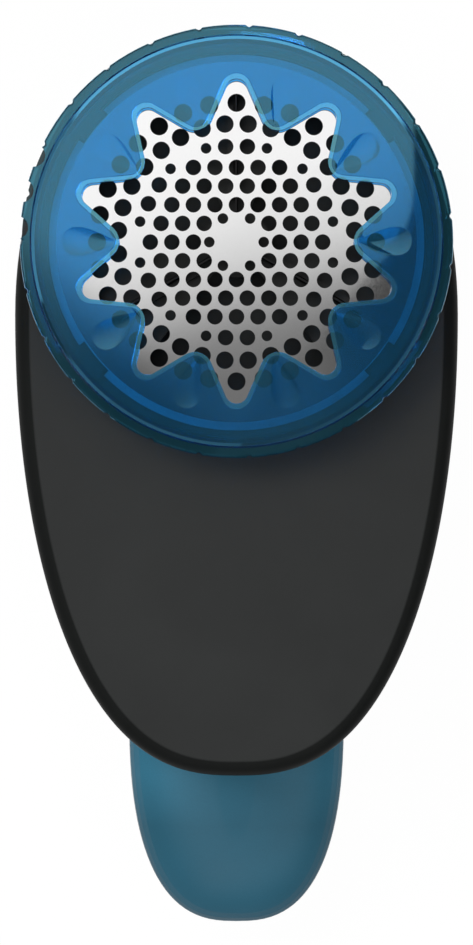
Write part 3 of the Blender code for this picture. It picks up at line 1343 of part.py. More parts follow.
def make_wires():
    away = WIRE_RADIUS + GAP
    tab_y = TRAY_NEAR_Y + WALL + away
    tab_z = CELL_Z + CONTACT_WIDTH / 2
    body_y = SWITCH_Y + SWITCH_TRAVEL / 2
    terminal = SWITCH_BODY[1] / 3
    reach = terminal + CONTACT_THICKNESS / 2 + away
    near_y = body_y - reach
    far_y = body_y + reach
    over_z = SWITCH_TOP_Z + WALL
    side_x = SWITCH_BODY[0] / 2 + 2 * WALL
    motor_z = MOTOR_CAP_UNDER_Z - 2 * WALL
    tab_x = MOTOR_TAB_OFFSET + CONTACT_THICKNESS / 2 + away
    routes = {
        "wire_battery_switch": ("wire_red", [
            (CELL_X, tab_y, tab_z),
            (CELL_X - WALL, tab_y + WALL, tab_z + WALL / 2),
            (WALL, near_y - WALL / 2, over_z + WALL / 2),
            (0.0, near_y, over_z),
        ]),
        "wire_switch_motor": ("wire_red", [
            (0.0, far_y, over_z),
            (side_x, body_y + terminal, over_z - WALL / 2),
            (side_x, HEAD_Y - MOTOR_RADIUS - WALL / 2, motor_z + WALL / 2),
            (tab_x, HEAD_Y, motor_z),
        ]),
        "wire_battery_motor": ("wire_black", [
            (-CELL_X, tab_y, tab_z),
            (-side_x, body_y - 3 * WALL, over_z),
            (-side_x, body_y + terminal, over_z - WALL / 2),
            (-side_x, HEAD_Y - MOTOR_RADIUS - WALL / 2, motor_z + WALL / 2),
            (-tab_x, HEAD_Y, motor_z),
        ]),
    }
    for name, (finish, route) in routes.items():
        points = smooth_route([Vector(place) for place in route])
        add_tube(name, points, WIRE_RADIUS, finish)


clear_scene()
make_back_shell()
make_battery_door()
make_lint_bin()
make_front_shell()
make_chassis_plate()
make_chamber()
make_foil_frame()
make_foil()
make_height_ring()
make_star_guard()
make_rotor()
make_motor()
make_screws()
make_battery_bay()
make_switch()
make_wires()
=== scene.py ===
"""Looks for a battery fabric shaver: finer forms for its seen pieces, finishes, a studio and the camera."""
import json
import math

import bmesh
import bpy
from mathutils import Matrix, Vector


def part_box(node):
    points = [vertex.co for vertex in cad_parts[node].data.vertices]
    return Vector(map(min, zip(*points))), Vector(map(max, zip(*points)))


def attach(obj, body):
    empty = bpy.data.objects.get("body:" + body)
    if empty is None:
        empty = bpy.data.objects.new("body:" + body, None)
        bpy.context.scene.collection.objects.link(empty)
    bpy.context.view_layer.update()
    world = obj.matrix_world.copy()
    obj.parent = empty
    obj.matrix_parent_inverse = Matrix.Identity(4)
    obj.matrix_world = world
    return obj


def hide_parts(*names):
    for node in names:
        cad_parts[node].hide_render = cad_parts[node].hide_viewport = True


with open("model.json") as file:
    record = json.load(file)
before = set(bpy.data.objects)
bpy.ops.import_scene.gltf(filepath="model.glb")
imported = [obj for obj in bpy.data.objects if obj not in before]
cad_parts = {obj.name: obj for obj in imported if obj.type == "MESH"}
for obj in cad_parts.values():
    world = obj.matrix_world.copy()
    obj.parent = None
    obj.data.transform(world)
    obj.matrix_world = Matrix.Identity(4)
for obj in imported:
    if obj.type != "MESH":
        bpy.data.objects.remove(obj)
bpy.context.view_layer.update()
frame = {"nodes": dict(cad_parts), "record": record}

BODY_OF = {node: body for body, nodes in frame["record"]["behaviour"]["bodies"].items() for node in nodes}
MM = 0.001
GAP = 0.3 * MM
WALL = 2.0 * MM

# The head, whose middle is the axis of the ring, the guard, the foil and the motor
HALF_LENGTH = 79.85 * MM
RING_RADIUS = 37.7 * MM
HEAD = Vector((0.0, HALF_LENGTH - RING_RADIUS, 0.0))
MOTOR_RADIUS = 12.2 * MM

# Levels and outlines of the housing, the same as the solids have
SPLIT_Z = 26.0 * MM
CHASSIS_Z = SPLIT_Z + GAP
FACE_Z = 48.0 * MM
FACE_ROUND = 3.0 * MM
EGG_HALF_WIDTH = RING_RADIUS + 1.38 * MM
EGG_WIDEST_Y = HEAD.y - 12.35 * MM
EGG_TIP_LENGTH = 81.35 * MM
EGG_TOP_LENGTH = HALF_LENGTH - EGG_WIDEST_Y
EGG_TIP_EXPONENTS = (2.55, 2.08)
EGG_TOP_EXPONENTS = (2.55, 2.04)
REVEAL = 0.5 * MM
HANDLE_HALF_WIDTH = 19.6 * MM
HANDLE_END_LENGTH = 39.5 * MM
HANDLE_WIDEST_Y = HANDLE_END_LENGTH - HALF_LENGTH
HANDLE_END_EXPONENT = 2.63
BACK_ROUND_IN = 11.0 * MM
BACK_ROUND_UP = 14.0 * MM
CROWN_IN = 16.0 * MM
CROWN_DROP = 8.0 * MM
CROWN_START_Y = EGG_WIDEST_Y - EGG_TIP_LENGTH + 6.35 * MM
CROWN_END_Y = EGG_WIDEST_Y - EGG_TIP_LENGTH + 47.35 * MM
RIM_ROUND = 0.8 * MM
ARCH_CENTRE_Y = 11.575 * MM
ARCH_LENGTH = 52.0 * MM
ARCH_DEPTH = 2.0 * MM
DOOR_HEIGHT = 9.0 * MM
DOOR_END_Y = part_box("battery_door")[1].y
DOOR_GRIPS = 5
DOOR_GRIP_START = 6.0 * MM
DOOR_GRIP_PITCH = 2.4 * MM
DOOR_GRIP_LENGTH = 16.0 * MM
DOOR_GRIP_WIDTH = 1.0 * MM
DOOR_GRIP_DEPTH = 0.55 * MM
BIN_WIDTH = 33.0 * MM
BIN_BACK_Y = HEAD.y + MOTOR_RADIUS + 2.95 * MM
BIN_WALL = 1.5 * MM
BIN_DEPTH = 13.9 * MM
BIN_FLOOR_Z = 4.3 * MM
SCOOP_RADIUS = 5.0 * MM
SCOOP_WIDTH = 20.0 * MM
SCOOP_DEPTH = 2.1 * MM
SCREW_RADIUS = 1.4 * MM
SCREW_HEAD_RADIUS = 2.7 * MM
SCREW_BORE_DEPTH = 7.0 * MM
BOSS_WALL = 1.6 * MM
LOWER_SCREWS = (22.0 * MM, 8.0 * MM)
UPPER_SCREWS = (24.04 * MM, HEAD.y + 14.56 * MM)
SWITCH_TRAVEL = 5.0 * MM
SWITCH_Y = ARCH_CENTRE_Y - SWITCH_TRAVEL / 2
SWITCH_STEM = 4.0 * MM

# The ring and the guard
RING_BORE = 35.95 * MM
RING_FOOT_Z = FACE_Z + GAP
RING_FOOT_TOP_Z = RING_FOOT_Z + 1.3 * MM
RING_TOP_Z = RING_FOOT_Z + 9.1 * MM
RING_CHAMFER = 0.5 * MM
GRIP_GROOVES = 27
GRIP_GROOVE_WIDTH = 1.3 * MM
GRIP_GROOVE_DEPTH = 0.34 * MM
GRIP_GROOVE_FULLNESS = 0.7
SCALLOP_RADIUS = 2.0 * MM
SCALLOP_DEPTH = 1.4 * MM
SCALLOP_ANGLES = (157.0, 166.7, 176.4)
GUARD_TOP_Z = 58.0 * MM
GUARD_UNDER_Z = 56.0 * MM
GUARD_RADIUS = RING_BORE - GAP
SKIRT_FOOT_Z = 50.0 * MM
COLLAR_RADIUS = GUARD_RADIUS - 1.2 * MM - GAP
SKIRT_BORE = COLLAR_RADIUS + GAP
GUARD_LIFT = 2.0 * MM
HEIGHT_TURN = 20.0
CAM_PINS = 3
CAM_START_ANGLE = 90.0
CAM_PIN_RADIUS = 0.7 * MM
CAM_PIN_LENGTH = 0.9 * MM
CAM_PIN_Z = SKIRT_FOOT_Z + CAM_PIN_RADIUS + GAP
KEY_RIBS = 3
KEY_START_ANGLE = 30.0
KEY_RIB_WIDTH = 3.0 * MM
KEY_RIB_HEIGHT = 3.0 * MM
KEY_RIB_PROUD = 0.9 * MM
KEY_RIB_FOOT_Z = RING_FOOT_TOP_Z + 2 * GAP
STAR_TIPS = 10
STAR_TIP_CORNER = 31.25 * MM
STAR_VALLEY_CORNER = 18.8 * MM
STAR_TIP_ROUND = 2.0 * MM
STAR_VALLEY_ROUND = 3.15 * MM
STAR_LIP = 0.75 * MM
TIP_GROWTH = 0.8
VALLEY_SHRINK = 1.5
STAR_LIP_DROP = 0.4 * MM
GUARD_EDGE_DROP = 0.2 * MM
DIMPLE_RADIUS = 25.9 * MM
DIMPLE_LENGTH = 9.2 * MM
DIMPLE_WIDTH = 4.4 * MM
DIMPLE_DEPTH = 0.02 * MM
DIMPLE_TAPER = 0.6

# The foil and what carries it
COLLAR_BORE = COLLAR_RADIUS - 1.0 * MM
FRAME_FLANGE_RADIUS = COLLAR_BORE - GAP
FRAME_RADIUS = FRAME_FLANGE_RADIUS - 1.2 * MM
FRAME_BORE = FRAME_RADIUS - 1.9 * MM
FOIL_RADIUS = FRAME_RADIUS - 0.2 * MM
FOIL_TOP_Z = 54.25 * MM
FOIL_UNDER_Z = 54.0 * MM
LATTICE_SIDES = 6
LATTICE_PITCH = 3.76 * MM
LATTICE_HOLE = 2.75 * MM
SMALL_HOLE = 1.88 * MM
INNER_SMALL_CIRCLE = 4.75 * MM
CORNER_HOLE_CIRCLE = 16.77 * MM
CORNER_SMALL_CIRCLE = 17.2 * MM
RING_HOLES = 32
RING_A_CIRCLE = 20.7 * MM
RING_A_HOLE = 3.08 * MM
RING_B_CIRCLE = 24.3 * MM
RING_B_HOLE = 3.18 * MM
LATTICE_RINGS = 4
CORNER_HOLE_SPREAD = 6.5
CORNER_SMALL_SPREAD = 12.0
FRAME_TOP_Z = FOIL_UNDER_Z - GAP
FRAME_FOOT_Z = FRAME_TOP_Z - 3.2 * MM
FRAME_FLANGE_TOP_Z = FRAME_FOOT_Z + 1.4 * MM
BAYONET_ANGLES = (39.0, 141.0, 219.0, 321.0)
BAYONET_WIDTH = 12.0

# How many steps make up each outline, round or circle
OUTLINE_STEPS = 28
ROUND_STEPS = 10
CIRCLE_STEPS = 144
BORE_STEPS = 32
SCOOP_STEPS = 48
HOLE_STEPS = 20
GROOVE_STEPS = 4
CHAMFER_STEPS = 4
SCALLOP_STEPS = 40
CAM_GROOVE_STEPS = 12
CAM_PIN_STEPS = 24
STAR_TIP_STEPS = 14
STAR_VALLEY_STEPS = 10
DIMPLE_STEPS = (48, 32)
NOTCH_STEPS = 8

# How edges are welded, rounded and shaded: angles in degrees
WELD = 0.01 * MM
EDGE_ROUND = 0.15 * MM
RING_EDGE_ROUND = 0.12 * MM
GUARD_EDGE_ROUND = 0.08 * MM
EDGE_SEGMENTS = 2
ROUND_OVER = 30.0
SHARP_OVER = 11.0
CAD_SHARP_OVER = 30.0

# The clear plastic: its colours, its sheen on top, the painted reflection in the petal dimples, the painted
# highlight on the guard's edge, the pale lip round the star and painted shade on the finger scallops' floors
CLEAR_BLUE = (0.07, 0.42, 0.85)
CLEAR_TOP = (0.05, 0.35, 0.5)
CLEAR_TO_LAMPS = (0.09, 0.36, 0.52)
CLEAR_IOR = 1.49
CLEAR_TRANSMISSION = 0.945
SHEEN = 0.26
SHEEN_ABOVE = (50.5 * MM, 52.0 * MM)
SHEEN_LEAN = (0.05, 0.3)
DIMPLE_PAINTED_REFLECTION = (0.045, 0.36, 0.53)
DIMPLE_BELOW = (GUARD_TOP_Z - 0.008 * MM, GUARD_TOP_Z - 0.002 * MM)
EDGE_BLUR = 0.05 * MM
RIDGE = (GUARD_RADIUS - RING_CHAMFER, GUARD_RADIUS)
RIDGE_HIGHLIGHT_COLOUR = (0.15, 0.58, 0.95)
LIP_COLOUR = (0.2, 0.75, 0.85)
LIP_BELOW = (GUARD_TOP_Z - STAR_LIP_DROP, GUARD_TOP_Z - STAR_LIP_DROP / 2)
POCKET_PAINTED_SHADE = (0.01, 0.03, 0.035)
POCKET_LEAN = (0.5, 0.9)

# The shells, the foil and its frame: their colours, the painted shade on the dark shell's sides, how the
# shells' gloss changes at their sides, and the painted light that makes the teal paler
CHARCOAL_FACE = (0.022, 0.0232, 0.023)
CHARCOAL_SIDE_SHADE = (0.009, 0.0092, 0.009)
CHARCOAL_GLOSS = (0.05, 0.3)
SIDE_SHADE_TURN = (0.985, 1.0)
TEAL = (0.02, 0.096, 0.147)
TEAL_GLOSS = (0.15, 0.5)
TEAL_TURN = (0.55, 0.85)
TEAL_PAINTED_LIGHT = 1.6
PAINTED_LIGHT_FROM = (-62.0 * MM, -53.0 * MM)
PAINTED_LIGHT_ABOVE = (15.0 * MM, 22.0 * MM)
FRAME_GREY = (0.74, 0.74, 0.74)
FOIL_STEEL = (0.9, 0.9, 0.9)

# The grain, flow marks and uneven gloss of moulded plastic, the lines and stains of metal, and the flow marks
# and uneven gloss of the clear plastic: scales are in features a metre
GRAIN_SHARE = 0.35
GRAIN_SHADE = 0.75
GRAIN_HEIGHT = 0.03 * MM
FLOW_MARKS = 38.0
UNEVEN_GLOSS = (-0.04, 0.05)
METAL_LINES = 1800.0
METAL_STAINS = 90.0
METAL_LINE_HEIGHT = 0.01 * MM
CLEAR_FLOW = 60.0
CLEAR_FLOW_SHADE = 0.97
CLEAR_FLOW_DEPTH = 0.02
CLEAR_FLOW_HEIGHT = 0.05 * MM
CLEAR_FINE = 900.0
CLEAR_UNEVEN_GLOSS = (0.6, 1.4)

# The camera, straight above the foil side: its place, its lens and sensor in millimetres, and its near end
CAMERA_PLACE = (0.0, 0.00195, 0.858)
CAMERA_LENS = 175.5
CAMERA_SENSOR = 36.0
CAMERA_NEAR = 0.01

# The panel overhead, in slopes: its lean, its brightness along that lean, its right edge and its cut corner
PANEL_LEAN = 0.28
PANEL_REACH = 0.1
PANEL_FADE = (
    (0.02, 0.17), (0.0288, 0.24), (0.0345, 0.36), (0.04, 0.55),
    (0.0461, 0.72), (0.055, 0.88), (0.064, 1.0), (0.1, 1.1),
)
PANEL_EDGE = 0.0385
PANEL_CUT = -0.0063
PANEL_CUT_TURN = math.radians(41.0)
PANEL_CORNER = 0.008
PANEL_BLUR = 0.0006

# Where the panel's right edge opens and blurs towards the top, and where its light grows dim far up
PANEL_OPENS = 0.15
OPENING_RATE = 1.5
OPENING_BLUR = 400.0
PANEL_END = (0.3, 0.7)
PAST_PANEL = 0.65

# The panel's dim part below and left of its middle, how far out that goes, and the panel's far left
PANEL_LEFT = (-0.014, 0.006)
LEFT_DIM = 0.6
LEFT_END = (-0.14, -0.09)
FAR_LEFT = (-0.87, -0.8)
FAR_LEFT_LEVEL = 0.3

# The room right of the panel, near it and further out, and its light down to the horizon
NEAR_ROOM = (0.14, 0.06)
NEAR_REACH = (0.016, 0.032)
FAR_ROOM = 0.12
FAR_REACH = (0.06, 0.8)
ROOM_FOOT = 0.12
ROOM_RISE = (0.1, 0.8)
LOWEST_UP = 0.02
WHITE = (1.0, 1.0, 1.0, 1.0)

# The floor
FLOOR_REACH = 3.0
FLOOR_DROP = 0.02 * MM
FLOOR_COLOUR = (0.25, 0.25, 0.25)
FLOOR_ROUGHNESS = 0.9
FLOOR_GLOW = 0.93
FLOOR_WHITE = 1.055

# The lamps: name, place, the point it shines at, width and depth, and watts
LAMPS = (
    ("key", (-0.55, 0.35, 0.9), (0.0, 0.0, 0.02), (0.5, 0.5), 8.0),
    ("fill", (0.6, -0.4, 0.9), (0.0, 0.0, 0.02), (0.5, 0.5), 3.4),
    ("south", (-0.1, -0.5, 0.7), (0.0, -0.06, 0.02), (0.5, 0.3), 2.3),
)


def bare(name, bm):
    """An object from a bmesh, which isn't finished yet."""
    bmesh.ops.recalc_face_normals(bm, faces=bm.faces)
    mesh = bpy.data.meshes.new(name)
    bm.to_mesh(mesh)
    bm.free()
    made = bpy.data.objects.new(name, mesh)
    bpy.context.scene.collection.objects.link(made)
    return made


def shaped(target, steps):
    """Applies Booleans, each an (operation, bmesh or object), one after the other."""
    tools = []
    for operation, tool in steps:
        if not isinstance(tool, bpy.types.Object):
            tool = bare("tool", tool)
        tools.append(tool)
        step = target.modifiers.new("step", "BOOLEAN")
        step.operation = operation
        step.solver = "EXACT"
        step.object = tool
    settle(target)
    for tool in tools:
        bpy.data.objects.remove(tool)
    return target


def settle(target):
    """Replaces an object's mesh by what its modifiers make of it."""
    shown = target.evaluated_get(bpy.context.evaluated_depsgraph_get())
    mesh = bpy.data.meshes.new_from_object(shown)
    target.modifiers.clear()
    target.data = mesh


def soften(target, width):
    """Rounds an object's sharp edges and shades it smooth, with the flat faces kept flat."""
    bm = bmesh.new()
    bm.from_mesh(target.data)
    bmesh.ops.remove_doubles(bm, verts=bm.verts, dist=WELD)
    bmesh.ops.dissolve_degenerate(bm, edges=bm.edges, dist=WELD)
    bm.to_mesh(target.data)
    bm.free()
    target.data.shade_smooth()
    target.data.set_sharp_from_angle(angle=math.radians(SHARP_OVER))
    if width:
        step = target.modifiers.new("edges", "BEVEL")
        step.width = width
        step.segments = EDGE_SEGMENTS
        step.limit_method = "ANGLE"
        step.angle_limit = math.radians(ROUND_OVER)
        step.use_clamp_overlap = True
    flat = target.modifiers.new("flat", "WEIGHTED_NORMAL")
    flat.keep_sharp = True
    return target


def place(piece, node, finish):
    """Puts a finer piece in the place of a CAD node, on the same body."""
    piece.data.materials.clear()
    piece.data.materials.append(finish)
    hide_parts(node)
    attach(piece, BODY_OF[node])


def around(radius, angle, z=0.0, centre=HEAD):
    """A point at a radius and an angle in radians about a centre."""
    return Vector((centre.x + radius * math.cos(angle), centre.y + radius * math.sin(angle), z))


def circle(radius, z, steps=CIRCLE_STEPS, centre=HEAD):
    return [around(radius, 2 * math.pi * step / steps, z, centre) for step in range(steps)]


def add_loop(bm, points):
    """New vertices for a closed loop of points."""
    return [bm.verts.new(point) for point in points]


def join_loops(bm, first, second):
    """Faces between two loops of as many vertices."""
    count = len(first)
    for step in range(count):
        after = (step + 1) % count
        bm.faces.new((first[step], first[after], second[after], second[step]))


def join_all(bm, loops):
    for first, second in zip(loops, loops[1:]):
        join_loops(bm, first, second)


def fill_between(bm, *loops):
    """A flat face of triangles inside the first loop and round the others."""
    edges = []
    for loop in loops:
        for step, vertex in enumerate(loop):
            after = loop[(step + 1) % len(loop)]
            edges.append(bm.edges.get((vertex, after)) or bm.edges.new((vertex, after)))
    bmesh.ops.triangle_fill(bm, edges=edges, use_beauty=True, use_dissolve=False)


def loft(rings):
    """A closed solid through rings of as many points."""
    bm = bmesh.new()
    loops = [add_loop(bm, ring) for ring in rings]
    join_all(bm, loops)
    bm.faces.new(reversed(loops[0]))
    bm.faces.new(loops[-1])
    return bm


def turned(profile):
    """A closed ring about the head's axis, from its section's corners, each a radius and a level."""
    bm = bmesh.new()
    loops = [add_loop(bm, circle(radius, z)) for radius, z in profile]
    join_all(bm, loops + loops[:1])
    return bm


def stacked(profile, steps=BORE_STEPS, centre=HEAD):
    """A round solid about an upright axis, through a radius at each level from its foot up."""
    return loft([circle(radius, z, steps, centre) for radius, z in profile])


def rod(radius, middle, ends, steps, turn=Matrix()):
    """A round rod along X from one end to the other, with its middle at (y, z), turned by a matrix."""
    y, z = middle
    rings = []
    for x in ends:
        ring = []
        for step in range(steps):
            t = 2 * math.pi * step / steps
            ring.append(turn @ Vector((x, y + radius * math.cos(t), z + radius * math.sin(t))))
        rings.append(ring)
    return loft(rings)


def block(low, high):
    bm = bmesh.new()
    size = Vector(high) - Vector(low)
    middle = (Vector(high) + Vector(low)) / 2
    bmesh.ops.create_cube(bm, size=1.0, matrix=Matrix.Translation(middle) @ Matrix.Diagonal((*size, 1.0)))
    return bm


def merged(parts):
    """One bmesh of several, which it frees."""
    whole = bmesh.new()
    for part in parts:
        mesh = bpy.data.meshes.new("merge")
        part.to_mesh(mesh)
        part.free()
        whole.from_mesh(mesh)
        bpy.data.meshes.remove(mesh)
    return whole


def rotated(bm, angle):
    """A bmesh turned by degrees about the head's axis."""
    bmesh.ops.rotate(bm, cent=HEAD, matrix=Matrix.Rotation(math.radians(angle), 3, "Z"), verts=bm.verts)
    return bm


def both_sides(place_at, profile):
    """A round solid at a place and at its mirrored place."""
    x, y = place_at
    return merged([stacked(profile, centre=Vector((side * x, y, 0.0))) for side in (1, -1)])


def smooth_step(value):
    """A soft rise from 0 to 1."""
    value = min(1.0, max(0.0, value))
    return value * value * (3 - 2 * value)


def rounding(steps):
    """A quarter circle's points as two shares of its radius: one from 0 to 1, and one from 1 to 0."""
    turns = [math.pi / 2 * step / steps for step in range(steps + 1)]
    return [(1 - math.cos(turn), 1 - math.sin(turn)) for turn in turns]


def quarter(half_width, length, exponents, steps):
    """A quarter of a superellipse, from its side to its end, as (across, along)."""
    points = []
    for step in range(steps + 1):
        t = math.pi / 2 * step / steps
        x = half_width * math.cos(t) ** (2 / exponents[0]) if step < steps else 0.0
        points.append((x, length * math.sin(t) ** (2 / exponents[1])))
    return points


def egg_width(y):
    """Half the dark shell's width at a place between its widest place and its tip."""
    reach = min(1.0, (EGG_WIDEST_Y - y) / EGG_TIP_LENGTH)
    return EGG_HALF_WIDTH * (1 - reach ** EGG_TIP_EXPONENTS[1]) ** (1 / EGG_TIP_EXPONENTS[0])


def mirrored(right, z_of):
    """A whole outline from its right half, at the level that z_of gives for each place along it."""
    left = [(-x, y) for x, y in reversed(right[1:-1])]
    return [Vector((x, y, z_of(y))) for x, y in right + left]


def egg(z, inset=0.0):
    """The dark shell's outline at a level."""
    tip = quarter(EGG_HALF_WIDTH - inset, EGG_TIP_LENGTH - inset, EGG_TIP_EXPONENTS, 2 * OUTLINE_STEPS)
    top = quarter(EGG_HALF_WIDTH - inset, EGG_TOP_LENGTH - inset, EGG_TOP_EXPONENTS, OUTLINE_STEPS)
    right = [(x, EGG_WIDEST_Y - along) for x, along in reversed(tip)]
    right += [(x, EGG_WIDEST_Y + along) for x, along in top[1:]]
    return mirrored(right, lambda y: z)


def body_width(y, inset):
    """Half the teal body's width, which flares from the handle to the head."""
    flare = smooth_step((y - HANDLE_WIDEST_Y) / (EGG_WIDEST_Y - HANDLE_WIDEST_Y))
    return HANDLE_HALF_WIDTH + (egg_width(y) - REVEAL - HANDLE_HALF_WIDTH) * flare - inset


def crown(y):
    """How far in and how far down the teal body's upper edge is rounded at a place along it."""
    share = 1 - smooth_step((y - CROWN_START_Y) / (CROWN_END_Y - CROWN_START_Y))
    return (
        RIM_ROUND + (CROWN_IN - RIM_ROUND) * share,
        RIM_ROUND + (CROWN_DROP - RIM_ROUND) * share,
    )


def body_outline(z_of, inset_of):
    """The teal body's outline, with its level and inset given for each place along it."""
    end_inset = inset_of(-HALF_LENGTH)
    top_inset = inset_of(HALF_LENGTH)
    exponents = (HANDLE_END_EXPONENT, HANDLE_END_EXPONENT)
    end = quarter(HANDLE_HALF_WIDTH - end_inset, HANDLE_END_LENGTH - end_inset, exponents, OUTLINE_STEPS)
    shrink = REVEAL + top_inset
    top = quarter(EGG_HALF_WIDTH - shrink, EGG_TOP_LENGTH - shrink, EGG_TOP_EXPONENTS, OUTLINE_STEPS)
    right = [(x, HANDLE_WIDEST_Y - along) for x, along in reversed(end)]
    for step in range(1, OUTLINE_STEPS):
        y = HANDLE_WIDEST_Y + (EGG_WIDEST_Y - HANDLE_WIDEST_Y) * step / OUTLINE_STEPS
        right.append((body_width(y, inset_of(y)), y))
    right += [(x, EGG_WIDEST_Y + along) for x, along in top]
    return mirrored(right, z_of)


def body_rings(wall=0.0):
    """The teal body's outlines from the back up to the split, or those of the room inside a wall."""
    rings = []
    for up, inward in rounding(ROUND_STEPS):
        z = wall + (BACK_ROUND_UP - wall) * up
        inset = wall + (BACK_ROUND_IN - wall / 2) * inward
        rings.append(body_outline(lambda y, z=z: z, lambda y, inset=inset: inset))
    for back, down in rounding(ROUND_STEPS):
        rings.append(body_outline(
            lambda y, down=down: SPLIT_Z - wall - crown(y)[1] * down,
            lambda y, back=back: wall + crown(y)[0] * back,
        ))
    return rings


def arch_cutter(raised=0.0):
    """What the shallow arch takes away from the back, as a bar across the body."""
    half = ARCH_LENGTH / 2
    radius = (half * half + ARCH_DEPTH * ARCH_DEPTH) / (2 * ARCH_DEPTH)
    span = math.asin((half + WALL) / radius)
    steps = 2 * OUTLINE_STEPS
    bm = bmesh.new()
    loops = []
    for x in (-2 * EGG_HALF_WIDTH, 2 * EGG_HALF_WIDTH):
        points = []
        for step in range(steps + 1):
            t = span * (2 * step / steps - 1)
            rise = radius * math.cos(t) - radius + ARCH_DEPTH + raised
            points.append(Vector((x, ARCH_CENTRE_Y + radius * math.sin(t), rise)))
        points.append(Vector((x, points[-1].y, -BACK_ROUND_UP)))
        points.append(Vector((x, points[0].y, -BACK_ROUND_UP)))
        loops.append(add_loop(bm, points))
    join_loops(bm, loops[0], loops[1])
    bm.faces.new(reversed(loops[0]))
    bm.faces.new(loops[1])
    return bm


def body_inside():
    """The room inside the back shell, which follows the arch."""
    return shaped(bare("body_inside", loft(body_rings(WALL))), [("DIFFERENCE", arch_cutter(WALL))])


def body_mouth():
    """The back shell's opening under the dark shell."""
    far_y = CROWN_START_Y + WALL
    steps = 2 * OUTLINE_STEPS
    right = [(0.0, far_y)]
    for step in range(1, steps):
        y = far_y + (EGG_WIDEST_Y - far_y) * step / steps
        right.append((body_width(y, crown(y)[0] + WALL / 2 + RIM_ROUND), y))
    shrink = REVEAL + RIM_ROUND + WALL / 2 + RIM_ROUND
    top = quarter(EGG_HALF_WIDTH - shrink, EGG_TOP_LENGTH - shrink, EGG_TOP_EXPONENTS, OUTLINE_STEPS)
    right += [(x, EGG_WIDEST_Y + along) for x, along in top]
    return loft([mirrored(right, lambda y, z=z: z) for z in (SPLIT_Z - 2 * WALL, SPLIT_Z + WALL)])


def front_shell():
    rings = [egg(CHASSIS_Z)]
    for inward, down in rounding(ROUND_STEPS):
        rings.append(egg(FACE_Z - FACE_ROUND * down, FACE_ROUND * inward))
    inside = [egg(CHASSIS_Z - WALL, WALL), egg(FACE_Z - WALL - GAP, WALL), egg(FACE_Z - WALL, WALL + GAP)]
    hole = [(SKIRT_BORE, FACE_Z - 2 * WALL), (SKIRT_BORE, FACE_Z + WALL)]
    shell = bare("front_shell_fine", loft(rings))
    return shaped(shell, [("DIFFERENCE", loft(inside)), ("DIFFERENCE", stacked(hole, CIRCLE_STEPS))])


def door_block(gap=0.0):
    """The handle's low end, which is the battery door's, with a gap before and above it."""
    far = (-2 * EGG_HALF_WIDTH, -2 * HALF_LENGTH, -WALL)
    return block(far, (2 * EGG_HALF_WIDTH, DOOR_END_Y + gap, DOOR_HEIGHT + gap))


def back_shell():
    half = BIN_WIDTH / 2 + GAP
    slot = SWITCH_STEM / 2 + GAP
    head = SCREW_HEAD_RADIUS + GAP
    boss_radius = head + BOSS_WALL / 2
    bore = SCREW_RADIUS + GAP
    boss = [(boss_radius, WALL), (boss_radius, SPLIT_Z - RIM_ROUND)]
    room = [(head, -WALL), (head, SCREW_BORE_DEPTH), (bore, SCREW_BORE_DEPTH), (bore, SPLIT_Z + WALL)]
    bin_room = block((-half, BIN_BACK_Y - GAP, BIN_FLOOR_Z - GAP), (half, 2 * HALF_LENGTH, SPLIT_Z + WALL))
    switch_room = block((-slot, SWITCH_Y - slot, -WALL), (slot, SWITCH_Y + SWITCH_TRAVEL + slot, 3 * WALL))
    shell = bare("back_shell_fine", loft(body_rings()))
    return shaped(shell, [
        ("DIFFERENCE", arch_cutter()),
        ("DIFFERENCE", body_inside()),
        ("DIFFERENCE", body_mouth()),
        ("DIFFERENCE", door_block(GAP)),
        ("DIFFERENCE", bin_room),
        ("UNION", both_sides(LOWER_SCREWS, boss)),
        ("DIFFERENCE", both_sides(LOWER_SCREWS, room)),
        ("DIFFERENCE", both_sides(UPPER_SCREWS, room)),
        ("DIFFERENCE", switch_room),
    ])


def battery_door():
    door = bare("battery_door_fine", loft(body_rings()))
    half_length = DOOR_GRIP_LENGTH / 2
    half_width = DOOR_GRIP_WIDTH / 2
    grips = []
    for row in range(DOOR_GRIPS):
        y = DOOR_END_Y - DOOR_GRIP_START - DOOR_GRIP_PITCH * row
        high = (half_length, y + half_width, DOOR_GRIP_DEPTH)
        grips.append(block((-half_length, y - half_width, -WALL), high))
    return shaped(door, [
        ("DIFFERENCE", arch_cutter()),
        ("DIFFERENCE", body_inside()),
        ("INTERSECT", door_block()),
        ("DIFFERENCE", merged(grips)),
    ])


def lint_bin():
    half = BIN_WIDTH / 2
    drawer = bare("lint_bin_fine", loft(body_rings()))
    middle = (HALF_LENGTH - REVEAL - SCOOP_DEPTH + SCOOP_RADIUS, BACK_ROUND_UP)
    scoop = rod(SCOOP_RADIUS, middle, (-SCOOP_WIDTH / 2, SCOOP_WIDTH / 2), SCOOP_STEPS)
    low = (-half + BIN_WALL, BIN_BACK_Y + BIN_WALL, BIN_FLOOR_Z + BIN_WALL)
    return shaped(drawer, [
        ("INTERSECT", block((-half, BIN_BACK_Y, BIN_FLOOR_Z), (half, 2 * HALF_LENGTH, SPLIT_Z + WALL))),
        ("DIFFERENCE", block(low, (half - BIN_WALL, BIN_BACK_Y + BIN_DEPTH, SPLIT_Z + WALL))),
        ("DIFFERENCE", scoop),
    ])


